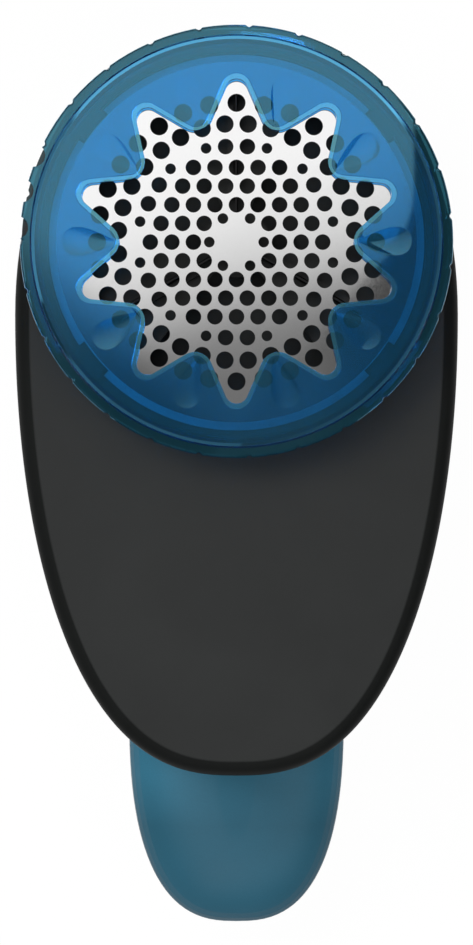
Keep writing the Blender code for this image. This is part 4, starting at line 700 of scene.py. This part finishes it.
def grip_outline():
    """The ring's outer outline with its grip grooves, as (x, y)."""
    half = GRIP_GROOVE_WIDTH / RING_RADIUS / 2
    points = []
    for groove in range(GRIP_GROOVES):
        middle = 2 * math.pi * (groove + 0.5) / GRIP_GROOVES
        for step in range(-GROOVE_STEPS, GROOVE_STEPS + 1):
            share = step / GROOVE_STEPS
            depth = GRIP_GROOVE_DEPTH * (0.5 + 0.5 * math.cos(math.pi * share)) ** GRIP_GROOVE_FULLNESS
            points.append((RING_RADIUS - depth, middle + share * half))
        rest = 2 * math.pi / GRIP_GROOVES - 2 * half
        for step in range(1, GROOVE_STEPS):
            points.append((RING_RADIUS, middle + half + rest * step / GROOVE_STEPS))
    return [(radius * math.cos(angle), HEAD.y + radius * math.sin(angle)) for radius, angle in points]


def cam_groove(angle):
    """The groove in the ring's bore that lifts the cam pin at an angle as the ring turns."""
    inner = GUARD_RADIUS - GAP
    outer = GUARD_RADIUS + CAM_PIN_LENGTH + GAP
    room = CAM_PIN_RADIUS + GAP
    side = math.degrees((room + GAP) / RING_BORE)
    rings = []
    for step in range(-1, CAM_GROOVE_STEPS + 2):
        share = min(1.0, max(0.0, step / CAM_GROOVE_STEPS))
        turn = angle - HEIGHT_TURN * share
        turn += side if step < 0 else 0.0
        turn -= side if step > CAM_GROOVE_STEPS else 0.0
        turn = math.radians(turn)
        z = CAM_PIN_Z + GUARD_LIFT * share
        section = ((inner, z - room), (outer, z - room), (outer, z + room), (inner, z + room))
        rings.append([around(radius, turn, height) for radius, height in section])
    return loft(rings)


def pin_angle(pin):
    return 360 / CAM_PINS * pin + CAM_START_ANGLE


def key_angle(rib):
    return 360 / KEY_RIBS * rib + KEY_START_ANGLE


def height_ring():
    bm = bmesh.new()
    outer = grip_outline()
    foot = add_loop(bm, [Vector((x, y, RING_FOOT_Z)) for x, y in outer])
    loops = [foot]
    for inward, down in rounding(CHAMFER_STEPS):
        shrink = (RING_RADIUS - RING_CHAMFER * inward) / RING_RADIUS
        z = RING_TOP_Z - RING_CHAMFER * down
        ring = [Vector((x * shrink, HEAD.y + (y - HEAD.y) * shrink, z)) for x, y in outer]
        loops.append(add_loop(bm, ring))
    join_all(bm, loops)
    profile = (
        (RING_BORE, RING_TOP_Z),
        (RING_BORE, RING_FOOT_TOP_Z),
        (SKIRT_BORE, RING_FOOT_TOP_Z),
        (SKIRT_BORE, RING_FOOT_Z),
    )
    bore = [add_loop(bm, circle(radius, z)) for radius, z in profile]
    fill_between(bm, loops[-1], bore[0])
    join_all(bm, bore)
    fill_between(bm, foot, bore[-1])
    cut = [(SCALLOP_RADIUS, RING_FOOT_TOP_Z), (SCALLOP_RADIUS, RING_TOP_Z + WALL)]
    scallops = []
    for angle in SCALLOP_ANGLES:
        centre = around(RING_RADIUS - SCALLOP_DEPTH + SCALLOP_RADIUS, math.radians(angle))
        scallops.append(stacked(cut, SCALLOP_STEPS, centre))
    return shaped(bare("height_ring_fine", bm), [
        ("DIFFERENCE", merged(scallops)),
        ("DIFFERENCE", merged([cam_groove(pin_angle(pin)) for pin in range(CAM_PINS)])),
    ])


def rounded_corner(before, corner, after, radius, steps):
    """The arc that rounds a corner between the points before and after it."""
    one = (before - corner).normalized()
    two = (after - corner).normalized()
    half = one.angle(two) / 2
    middle = corner + (one + two).normalized() * (radius / math.sin(half))
    start = corner + one * (radius / math.tan(half)) - middle
    end = corner + two * (radius / math.tan(half)) - middle
    return [middle + radius * start.slerp(end, step / steps) for step in range(steps + 1)]


def star(grow, z):
    """The star opening's outline, grown by a distance, at a level."""
    pitch = math.pi / STAR_TIPS
    flank = Vector((STAR_TIP_CORNER, 0.0)) - STAR_VALLEY_CORNER * Vector((math.cos(pitch), math.sin(pitch)))
    slope = math.atan2(-flank.y, flank.x)
    tip = STAR_TIP_CORNER + grow / math.sin(slope)
    valley = STAR_VALLEY_CORNER + grow / math.sin(slope + pitch)
    corners = []
    for step in range(2 * STAR_TIPS):
        radius = tip if step % 2 == 0 else valley
        angle = math.pi / 2 + pitch * step
        corners.append(Vector((radius * math.cos(angle), radius * math.sin(angle))))
    points = []
    for step, corner in enumerate(corners):
        before = corners[step - 1]
        after = corners[(step + 1) % len(corners)]
        if step % 2 == 0:
            radius = STAR_TIP_ROUND + TIP_GROWTH * grow
            points += rounded_corner(before, corner, after, radius, STAR_TIP_STEPS)
        else:
            radius = STAR_VALLEY_ROUND - VALLEY_SHRINK * grow
            points += rounded_corner(before, corner, after, radius, STAR_VALLEY_STEPS)
    return [Vector((point.x, HEAD.y + point.y, z)) for point in points]


def dimple(tooth):
    """What a petal dimple takes away from a tooth: a flat dome, wider towards the guard's edge."""
    bm = bmesh.new()
    segments, rings = DIMPLE_STEPS
    rise = DIMPLE_DEPTH * 2
    above = rise - DIMPLE_DEPTH
    swell = 1 / math.sqrt(1 - (above / rise) ** 2)
    scale = Matrix.Diagonal((DIMPLE_LENGTH / 2 * swell, DIMPLE_WIDTH / 2 * swell, rise, 1.0))
    move = Matrix.Translation((DIMPLE_RADIUS, HEAD.y, GUARD_TOP_Z + above))
    bmesh.ops.create_uvsphere(bm, u_segments=segments, v_segments=rings, radius=1.0, matrix=move @ scale)
    for vertex in bm.verts:
        outward = (vertex.co.x - DIMPLE_RADIUS) / (DIMPLE_LENGTH / 2)
        vertex.co.y = HEAD.y + (vertex.co.y - HEAD.y) * (1 + DIMPLE_TAPER * outward)
    return rotated(bm, 90 + 180 / STAR_TIPS + 360 / STAR_TIPS * tooth)


def star_guard():
    bm = bmesh.new()
    lip_z = GUARD_TOP_Z - STAR_LIP_DROP
    levels = ((0.0, GUARD_UNDER_Z), (0.0, lip_z), (STAR_LIP, lip_z), (STAR_LIP, GUARD_TOP_Z))
    opening = [add_loop(bm, star(grow, z)) for grow, z in levels]
    join_all(bm, opening)
    profile = (
        (GUARD_RADIUS - RING_CHAMFER, GUARD_TOP_Z),
        (GUARD_RADIUS, GUARD_TOP_Z - GUARD_EDGE_DROP),
        (GUARD_RADIUS, SKIRT_FOOT_Z),
        (SKIRT_BORE, SKIRT_FOOT_Z),
        (SKIRT_BORE, GUARD_UNDER_Z),
    )
    loops = [add_loop(bm, circle(radius, z)) for radius, z in profile]
    join_all(bm, loops)
    fill_between(bm, loops[0], opening[-1])
    fill_between(bm, loops[-1], opening[0])
    half = KEY_RIB_WIDTH / 2 + GAP
    low = (SKIRT_BORE - WALL / 2, HEAD.y - half, SKIRT_FOOT_Z - WALL)
    high = (COLLAR_RADIUS + KEY_RIB_PROUD + GAP, HEAD.y + half, KEY_RIB_FOOT_Z + KEY_RIB_HEIGHT + GAP)
    notches = [rotated(block(low, high), key_angle(rib)) for rib in range(KEY_RIBS)]
    ends = (GUARD_RADIUS - GAP, GUARD_RADIUS + CAM_PIN_LENGTH)
    pins = []
    for pin in range(CAM_PINS):
        turn = Matrix.Translation(HEAD) @ Matrix.Rotation(math.radians(pin_angle(pin)), 4, "Z")
        pins.append(rod(CAM_PIN_RADIUS, (0.0, CAM_PIN_Z), ends, CAM_PIN_STEPS, turn))
    return shaped(bare("star_guard_fine", bm), [
        ("DIFFERENCE", merged([dimple(tooth) for tooth in range(STAR_TIPS)])),
        ("DIFFERENCE", merged(notches)),
        ("UNION", merged(pins)),
    ])


def foil_holes():
    """Every hole of the foil as (x, y, diameter) from its middle: a lattice, its corners, and two rings."""
    holes = []

    def on_circle(radius, angles, diameter):
        for angle in angles:
            turn = math.radians(angle)
            holes.append((radius * math.cos(turn), radius * math.sin(turn), diameter))

    corners = [360 / LATTICE_SIDES * side for side in range(LATTICE_SIDES)]
    on_circle(INNER_SMALL_CIRCLE, corners, SMALL_HOLE)
    span = range(-LATTICE_RINGS, LATTICE_RINGS + 1)
    for row in span:
        for column in span:
            rings = max(abs(row), abs(column), abs(row + column))
            if 2 <= rings <= LATTICE_RINGS:
                x = LATTICE_PITCH * (column + row / 2)
                holes.append((x, LATTICE_PITCH * row * math.sqrt(3) / 2, LATTICE_HOLE))
    flats = [180 / LATTICE_SIDES + angle for angle in corners]
    for side in (-1, 1):
        on_circle(CORNER_HOLE_CIRCLE, [angle + side * CORNER_HOLE_SPREAD for angle in flats], LATTICE_HOLE)
        on_circle(CORNER_SMALL_CIRCLE, [angle + side * CORNER_SMALL_SPREAD for angle in corners], SMALL_HOLE)
    step = 360 / RING_HOLES
    on_circle(RING_A_CIRCLE, [step * (hole + 0.5) for hole in range(RING_HOLES)], RING_A_HOLE)
    on_circle(RING_B_CIRCLE, [step * hole for hole in range(RING_HOLES)], RING_B_HOLE)
    return holes


def foil():
    bm = bmesh.new()
    loops = [add_loop(bm, circle(FOIL_RADIUS, FOIL_UNDER_Z))]
    for x, y, diameter in foil_holes():
        centre = Vector((x, HEAD.y + y, 0.0))
        loops.append(add_loop(bm, circle(diameter / 2, FOIL_UNDER_Z, HOLE_STEPS, centre)))
    fill_between(bm, *loops)
    raised = bmesh.ops.extrude_face_region(bm, geom=bm.faces[:])
    lifted = [item for item in raised["geom"] if isinstance(item, bmesh.types.BMVert)]
    bmesh.ops.translate(bm, vec=(0.0, 0.0, FOIL_TOP_Z - FOIL_UNDER_Z), verts=lifted)
    return bare("foil_fine", bm)


def arc_block(inner, outer, middle, width, levels):
    """A block between two radii about the head's axis, of a width in degrees round its middle angle."""
    shares = [step / NOTCH_STEPS - 0.5 for step in range(NOTCH_STEPS + 1)]
    angles = [math.radians(middle + width * share) for share in shares]
    outline = [(outer, angle) for angle in angles] + [(inner, angle) for angle in reversed(angles)]
    return loft([[around(radius, angle, z) for radius, angle in outline] for z in levels])


def foil_frame():
    profile = [
        (FRAME_RADIUS, FRAME_TOP_Z),
        (FRAME_RADIUS, FRAME_FLANGE_TOP_Z),
        (FRAME_FLANGE_RADIUS, FRAME_FLANGE_TOP_Z),
        (FRAME_FLANGE_RADIUS, FRAME_FOOT_Z),
        (FRAME_BORE, FRAME_FOOT_Z),
        (FRAME_BORE, FRAME_TOP_Z),
    ]
    levels = (FRAME_FOOT_Z - WALL, FRAME_FLANGE_TOP_Z + GAP)
    notches = []
    for angle in BAYONET_ANGLES:
        notches.append(arc_block(FRAME_RADIUS, FRAME_FLANGE_RADIUS + WALL, angle, BAYONET_WIDTH, levels))
    return shaped(bare("foil_frame_fine", turned(profile)), [("DIFFERENCE", merged(notches))])


class Nodes:
    """A short way to put the nodes of a material or a world together."""

    def __init__(self, owner, coordinates="Object"):
        owner.use_nodes = True
        self.owner = owner
        self.tree = owner.node_tree
        self.shader = self.tree.nodes.get("Principled BSDF")
        self.output = self.tree.nodes.get("Material Output") or self.tree.nodes["World Output"]
        self.coordinates = self.tree.nodes.new("ShaderNodeTexCoord").outputs[coordinates]

    def node(self, kind, **values):
        made = self.tree.nodes.new(kind)
        for name, value in values.items():
            setattr(made, name, value)
        return made

    def link(self, start, end):
        self.tree.links.new(start, end)

    def feed(self, socket, value):
        """Sets a socket to a number or a colour, or links another socket to it."""
        if isinstance(value, (float, int)):
            socket.default_value = value
        elif isinstance(value, tuple):
            socket.default_value = (*value, 1.0)
        else:
            self.link(value, socket)

    def math(self, operation, *values):
        made = self.node("ShaderNodeMath", operation=operation)
        for socket, value in zip(made.inputs, values):
            self.feed(socket, value)
        return made.outputs[0]

    def times(self, first, *others):
        """The product of two or more values."""
        for other in others:
            first = self.math("MULTIPLY", first, other)
        return first

    def parts(self, source):
        """The X, Y and Z of a place or a direction."""
        made = self.node("ShaderNodeSeparateXYZ")
        self.link(source, made.inputs[0])
        return made.outputs

    def blend(self, factor, first, second):
        """A mix of two shaders."""
        made = self.node("ShaderNodeMixShader")
        self.feed(made.inputs[0], factor)
        self.link(first, made.inputs[1])
        self.link(second, made.inputs[2])
        return made.outputs[0]

    def noise(self, scale, detail=3.0, roughness=0.5, stretch=None, distortion=0.0):
        """Noise of so many features a metre, from 0 to 1."""
        texture = self.node("ShaderNodeTexNoise")
        texture.inputs["Scale"].default_value = scale
        texture.inputs["Detail"].default_value = detail
        texture.inputs["Roughness"].default_value = roughness
        texture.inputs["Distortion"].default_value = distortion
        source = self.coordinates
        if stretch:
            mapping = self.node("ShaderNodeMapping")
            mapping.inputs["Scale"].default_value = stretch
            self.link(source, mapping.inputs["Vector"])
            source = mapping.outputs["Vector"]
        self.link(source, texture.inputs["Vector"])
        return texture.outputs["Fac"]

    def spread(self, source, low, high, start=0.3, end=0.7, kind="LINEAR"):
        """A value from low to high as the source goes from start to end."""
        made = self.node("ShaderNodeMapRange", clamp=True, interpolation_type=kind)
        made.inputs["From Min"].default_value = start
        made.inputs["From Max"].default_value = end
        self.feed(made.inputs["To Min"], low)
        self.feed(made.inputs["To Max"], high)
        self.link(source, made.inputs["Value"])
        return made.outputs["Result"]

    def rise(self, source, start, end, kind="LINEAR"):
        return self.spread(source, 0.0, 1.0, start, end, kind)

    def fall(self, source, start, end, kind="LINEAR"):
        return self.spread(source, 1.0, 0.0, start, end, kind)

    def mix(self, factor, first, second):
        """A colour between two, each a colour or a socket."""
        made = self.node("ShaderNodeMix", data_type="RGBA")
        self.feed(made.inputs[0], factor)
        self.feed(made.inputs[6], first)
        self.feed(made.inputs[7], second)
        return made.outputs[2]

    def toned(self, tint, colour):
        """A tint multiplied by a colour."""
        made = self.mix(1.0, tint, colour)
        made.node.blend_type = "MULTIPLY"
        return made

    def bump(self, height, strength, distance):
        made = self.node("ShaderNodeBump")
        made.inputs["Strength"].default_value = strength
        made.inputs["Distance"].default_value = distance
        self.link(height, made.inputs["Height"])
        return made.outputs["Normal"]

    def base(self):
        """What already feeds the shader's base colour."""
        return self.shader.inputs["Base Color"].links[0].from_socket

    def set(self, **values):
        for name, value in values.items():
            self.feed(self.shader.inputs[name.replace("_", " ")], value)


def material_nodes(name):
    return Nodes(bpy.data.materials.new(name))


def scaled(colour, factor):
    return tuple(min(1.0, part * factor) for part in colour)


def moulded(name, colour, roughness, grain=3500.0, depth=0.25, shade=0.12, **values):
    """Moulded plastic: fine grain, faint flow marks and slightly uneven gloss."""
    n = material_nodes(name)
    flow = n.noise(FLOW_MARKS, detail=4.0, roughness=0.6, distortion=0.4)
    fine = n.noise(grain, detail=2.0, roughness=0.6)
    tint = n.mix(n.spread(flow, 0.0, 1.0), scaled(colour, 1 - shade), scaled(colour, 1 + shade))
    n.set(
        Base_Color=n.mix(n.spread(fine, 0.0, GRAIN_SHARE), tint, scaled(colour, GRAIN_SHADE)),
        Roughness=n.spread(flow, roughness + UNEVEN_GLOSS[0], roughness + UNEVEN_GLOSS[1]),
        Normal=n.bump(fine, depth, GRAIN_HEIGHT),
        **values,
    )
    return n.owner


def charcoal_plastic(name):
    """The dark shell's matt plastic, with painted shade: darker in colour where it turns away from above."""
    made = moulded(name, CHARCOAL_FACE, 0.5, Specular_IOR_Level=CHARCOAL_GLOSS[1])
    n = Nodes(made)
    normal = n.parts(n.node("ShaderNodeNewGeometry").outputs["Normal"])
    # Painted shade: the colour darkens where the shell turns away from above, and the gloss drops there too
    on_top = n.rise(normal["Z"], *SIDE_SHADE_TURN)
    shade = n.toned(n.base(), scaled(CHARCOAL_SIDE_SHADE, 1 / CHARCOAL_FACE[0]))
    n.set(
        Base_Color=n.mix(on_top, shade, n.base()),
        Specular_IOR_Level=n.spread(on_top, *CHARCOAL_GLOSS, 0.0, 1.0),
    )
    return made


def teal_plastic(name):
    """The teal plastic, with painted light on the handle's top under the dark shell's end, against that end's
    shade.
    """
    made = moulded(name, TEAL, 0.42, depth=0.12, shade=0.06)
    n = Nodes(made)
    place_at = n.parts(n.coordinates)
    normal = n.parts(n.node("ShaderNodeNewGeometry").outputs["Normal"])
    # Painted light: the handle's top near the dark shell's end is made paler, to lift the shade the shell
    # casts there
    painted_light = n.times(n.rise(place_at["Y"], *PAINTED_LIGHT_FROM), n.rise(place_at["Z"], *PAINTED_LIGHT_ABOVE))
    n.set(
        Base_Color=n.mix(painted_light, n.base(), n.toned(n.base(), (TEAL_PAINTED_LIGHT, TEAL_PAINTED_LIGHT, TEAL_PAINTED_LIGHT))),
        Specular_IOR_Level=n.spread(n.math("ABSOLUTE", normal["Z"]), *TEAL_GLOSS, *TEAL_TURN),
    )
    return made


def metal(name, colour, roughness, stretch=(1.0, 1.0, 1.0), depth=0.12, shade=0.1, gloss=0.06):
    """Bare metal with fine rolling marks and a few stains."""
    n = material_nodes(name)
    lines = n.noise(METAL_LINES, detail=3.0, roughness=0.6, stretch=stretch)
    stains = n.noise(METAL_STAINS, detail=4.0, roughness=0.6)
    n.set(
        Base_Color=n.mix(n.spread(stains, 0.0, 1.0), scaled(colour, 1 - shade), colour),
        Roughness=n.spread(lines, roughness - gloss, roughness + gloss),
        Normal=n.bump(lines, depth, METAL_LINE_HEIGHT),
        Metallic=1.0,
    )
    return n.owner


def clear_plastic(name, roughness):
    """Tinted clear plastic that refracts, has a coloured sheen on top, and tints the lamps' light."""
    n = material_nodes(name)
    flow = n.noise(CLEAR_FLOW, detail=3.0, distortion=0.3)
    fine = n.noise(CLEAR_FINE, detail=2.0)
    face = n.node("ShaderNodeNewGeometry")
    lean = n.parts(face.outputs["True Normal"])["Z"]
    across, along, up = n.parts(n.coordinates)
    along = n.math("SUBTRACT", along, HEAD.y)
    out = n.math("SQRT", n.math("MULTIPLY_ADD", across, across, n.times(along, along)))
    outside = n.times(n.rise(up, *SHEEN_ABOVE), n.math("SUBTRACT", 1.0, face.outputs["Backfacing"]))
    upward = n.times(n.rise(lean, *SHEEN_LEAN), outside)
    ridge_start, ridge_end = RIDGE
    # Painted highlight: a bright, fully metallic band on the guard's rounded edge stands in for its glint
    ridge_highlight = n.times(n.rise(out, ridge_start - EDGE_BLUR, ridge_start), upward)
    ridge_highlight = n.times(ridge_highlight, n.fall(out, ridge_end, ridge_end + EDGE_BLUR))
    inner = n.fall(out, ridge_start - STAR_LIP, ridge_start - EDGE_BLUR)
    # Painted reflection: the petal dimples get a bluer tint for the light that comes back out of them
    dimple_reflection = n.times(inner, n.fall(up, *DIMPLE_BELOW), upward)
    lip = n.times(n.fall(out, ridge_start - STAR_LIP, ridge_start), n.fall(up, *LIP_BELOW), upward)
    # Painted shade: the floors of the finger scallops are made dark, as their walls shade them
    pocket_shade = n.times(
        n.fall(up, RING_FOOT_TOP_Z, RING_FOOT_TOP_Z + EDGE_BLUR),
        n.rise(lean, *POCKET_LEAN),
        n.rise(out, RING_BORE - EDGE_BLUR, RING_BORE),
    )
    tint = n.mix(n.spread(flow, 0.0, 1.0), scaled(CLEAR_BLUE, CLEAR_FLOW_SHADE), CLEAR_BLUE)
    tint = n.mix(upward, tint, CLEAR_TOP)
    tint = n.mix(dimple_reflection, tint, DIMPLE_PAINTED_REFLECTION)
    tint = n.mix(lip, tint, LIP_COLOUR)
    tint = n.mix(pocket_shade, tint, POCKET_PAINTED_SHADE)
    n.set(
        Base_Color=n.mix(ridge_highlight, tint, RIDGE_HIGHLIGHT_COLOUR),
        Metallic=n.math("MAXIMUM", n.times(upward, SHEEN), ridge_highlight),
        Roughness=n.spread(fine, *(roughness * share for share in CLEAR_UNEVEN_GLOSS)),
        Normal=n.bump(flow, CLEAR_FLOW_DEPTH, CLEAR_FLOW_HEIGHT),
        IOR=CLEAR_IOR,
        Transmission_Weight=CLEAR_TRANSMISSION,
    )
    path = n.node("ShaderNodeLightPath")
    through = n.node("ShaderNodeBsdfTransparent")
    n.feed(through.inputs["Color"], CLEAR_TO_LAMPS)
    surface = n.blend(path.outputs["Is Shadow Ray"], n.shader.outputs[0], through.outputs[0])
    n.link(surface, n.output.inputs["Surface"])
    return n.owner


def finishes():
    """Every material by its slot."""
    return {
        "charcoal_plastic": charcoal_plastic("charcoal_plastic"),
        "teal_plastic": teal_plastic("teal_plastic"),
        "black_plastic": moulded("black_plastic", (0.018, 0.0185, 0.018), roughness=0.45),
        "grey_plastic": moulded(
            "grey_plastic", FRAME_GREY, roughness=0.15, shade=0.02, depth=0.01, Metallic=0.2,
        ),
        "clear_blue": clear_plastic("clear_blue", roughness=0.01),
        "foil_steel": metal("foil_steel", FOIL_STEEL, roughness=0.03, shade=0.01, depth=0.01, gloss=0.01),
        "blade_steel": metal("blade_steel", (0.045, 0.045, 0.046), roughness=0.5, stretch=(1.0, 1.0, 0.1)),
        "bright_steel": metal("bright_steel", (0.55, 0.55, 0.57), roughness=0.3, stretch=(1.0, 1.0, 0.05)),
        "brass": metal("brass", (0.62, 0.45, 0.2), roughness=0.33, stretch=(1.0, 0.1, 1.0)),
        "cell_jacket": moulded("cell_jacket", (0.04, 0.2, 0.09), roughness=0.3, grain=1500.0, depth=0.05),
        "grey_rubber": moulded("grey_rubber", (0.07, 0.075, 0.075), roughness=0.75, grain=2500.0, depth=0.4),
        "wire_red": moulded("wire_red", (0.5, 0.02, 0.015), roughness=0.4, grain=1500.0, depth=0.1),
        "wire_black": moulded("wire_black", (0.015, 0.015, 0.015), roughness=0.4, grain=1500.0, depth=0.1),
    }


def dress():
    """Makes the finer pieces, and gives every CAD node its finish."""
    made = finishes()
    slots = {entry["node"]: entry["material_slot"] for entry in frame["record"]["subparts"]}
    for node, piece in frame["nodes"].items():
        piece.data.materials.clear()
        piece.data.materials.append(made[slots[node]])
        piece.data.shade_smooth()
        piece.data.set_sharp_from_angle(angle=math.radians(CAD_SHARP_OVER))
    finer = (
        ("front_shell", front_shell, EDGE_ROUND),
        ("back_shell", back_shell, EDGE_ROUND),
        ("battery_door", battery_door, EDGE_ROUND),
        ("lint_bin", lint_bin, EDGE_ROUND),
        ("height_ring", height_ring, RING_EDGE_ROUND),
        ("star_guard", star_guard, GUARD_EDGE_ROUND),
        ("foil_frame", foil_frame, EDGE_ROUND),
        ("foil", foil, 0.0),
    )
    for node, make, width in finer:
        piece = soften(make(), width)
        place(piece, node, made[slots[node]])


def add_floor():
    """A plain floor that the camera and reflections see as white, and that keeps the shaver's shadow."""
    bm = bmesh.new()
    bmesh.ops.create_grid(bm, x_segments=1, y_segments=1, size=FLOOR_REACH)
    floor = bare("floor", bm)
    floor.location = (0.0, 0.0, -FLOOR_DROP)
    n = material_nodes("floor")
    n.set(Base_Color=FLOOR_COLOUR, Roughness=FLOOR_ROUGHNESS, Specular_IOR_Level=0.0)
    glow = n.node("ShaderNodeEmission")
    glow.inputs["Strength"].default_value = FLOOR_WHITE
    path = n.node("ShaderNodeLightPath")
    seen = n.math("MAXIMUM", path.outputs["Is Camera Ray"], path.outputs["Is Glossy Ray"])
    seen = n.math("MAXIMUM", seen, path.outputs["Is Transmission Ray"])
    surface = n.blend(n.times(seen, FLOOR_GLOW), n.shader.outputs[0], glow.outputs[0])
    n.link(surface, n.output.inputs["Surface"])
    floor.data.materials.append(n.owner)


def add_world():
    """A large soft panel overhead, whose right edge and cut corner show in the foil, in a dim room.

    Places on it are slopes: how far a direction leans to the right and to the top, for each unit up.
    """
    world = bpy.data.worlds.new("studio")
    bpy.context.scene.world = world
    n = Nodes(world, "Generated")
    direction = n.parts(n.coordinates)
    up = n.math("MAXIMUM", direction["Z"], LOWEST_UP)
    right = n.math("DIVIDE", direction["X"], up)
    top = n.math("DIVIDE", direction["Y"], up)

    along = n.math("MULTIPLY_ADD", right, -PANEL_LEAN, top)
    fade = n.node("ShaderNodeValToRGB")
    n.link(n.rise(along, 0.0, PANEL_REACH), fade.inputs[0])
    ramp = fade.color_ramp
    while len(ramp.elements) < len(PANEL_FADE):
        ramp.elements.new(1.0)
    for element, (place_at, level) in zip(ramp.elements, PANEL_FADE):
        element.position = place_at / PANEL_REACH
        element.color = (level, level, level, 1.0)

    opened = n.math("MAXIMUM", n.math("SUBTRACT", top, PANEL_OPENS), 0.0)
    past_edge = n.math("SUBTRACT", right, PANEL_EDGE)
    across = n.times(right, math.cos(PANEL_CUT_TURN))
    past_cut = n.math("MULTIPLY_ADD", top, -math.sin(PANEL_CUT_TURN), across)
    past_cut = n.math("SUBTRACT", past_cut, PANEL_CUT)
    past = n.math("SMOOTH_MAX", past_edge, past_cut, PANEL_CORNER)
    past = n.math("MULTIPLY_ADD", opened, -OPENING_RATE, past)
    past = n.math("DIVIDE", past, n.math("MULTIPLY_ADD", opened, OPENING_BLUR, 1.0))
    inside = n.fall(past, -PANEL_BLUR, PANEL_BLUR, "SMOOTHSTEP")

    left = n.times(n.math("ADD", right, top), -1.0)
    dim = n.spread(left, 0.0, LEFT_DIM, *PANEL_LEFT, "SMOOTHSTEP")
    dim = n.times(dim, n.rise(right, *LEFT_END, "SMOOTHSTEP"), n.rise(top, *LEFT_END, "SMOOTHSTEP"))
    panel = n.times(
        fade.outputs["Color"],
        n.spread(along, 1.0, PAST_PANEL, *PANEL_END, "SMOOTHSTEP"),
        n.spread(right, FAR_LEFT_LEVEL, 1.0, *FAR_LEFT, "SMOOTHSTEP"),
        n.math("SUBTRACT", 1.0, dim),
    )

    room = n.spread(right, n.spread(right, *NEAR_ROOM, *NEAR_REACH), FAR_ROOM, *FAR_REACH)
    level = n.math("MULTIPLY_ADD", n.math("SUBTRACT", panel, room), inside, room)
    low = n.spread(direction["Z"], ROOM_FOOT, 1.0, *ROOM_RISE, "SMOOTHSTEP")
    sky = n.tree.nodes["Background"]
    sky.inputs["Color"].default_value = WHITE
    n.link(n.times(level, low), sky.inputs["Strength"])
    path = n.node("ShaderNodeLightPath")
    white = n.node("ShaderNodeBackground")
    white.inputs["Color"].default_value = WHITE
    surface = n.blend(path.outputs["Is Camera Ray"], sky.outputs[0], white.outputs[0])
    n.link(surface, n.output.inputs["Surface"])


def add_lamp(name, place_at, target, size, watts):
    """A soft lamp that lights surfaces and is in no reflection."""
    lamp = bpy.data.lights.new(name, "AREA")
    lamp.shape = "RECTANGLE"
    lamp.size, lamp.size_y = size
    lamp.energy = watts
    made = bpy.data.objects.new(name, lamp)
    bpy.context.scene.collection.objects.link(made)
    made.location = place_at
    aim = Vector(target) - Vector(place_at)
    made.rotation_euler = aim.to_track_quat("-Z", "Y").to_euler()
    made.visible_camera = False
    made.visible_glossy = False


def add_camera():
    lens = bpy.data.cameras.new("camera")
    lens.lens = CAMERA_LENS
    lens.sensor_width = CAMERA_SENSOR
    lens.clip_start = CAMERA_NEAR
    made = bpy.data.objects.new("camera", lens)
    bpy.context.scene.collection.objects.link(made)
    made.location = CAMERA_PLACE
    bpy.context.scene.camera = made


dress()
add_floor()
add_world()
for lamp in LAMPS:
    add_lamp(*lamp)
add_camera()
view = bpy.context.scene.view_settings
view.view_transform = "Standard"
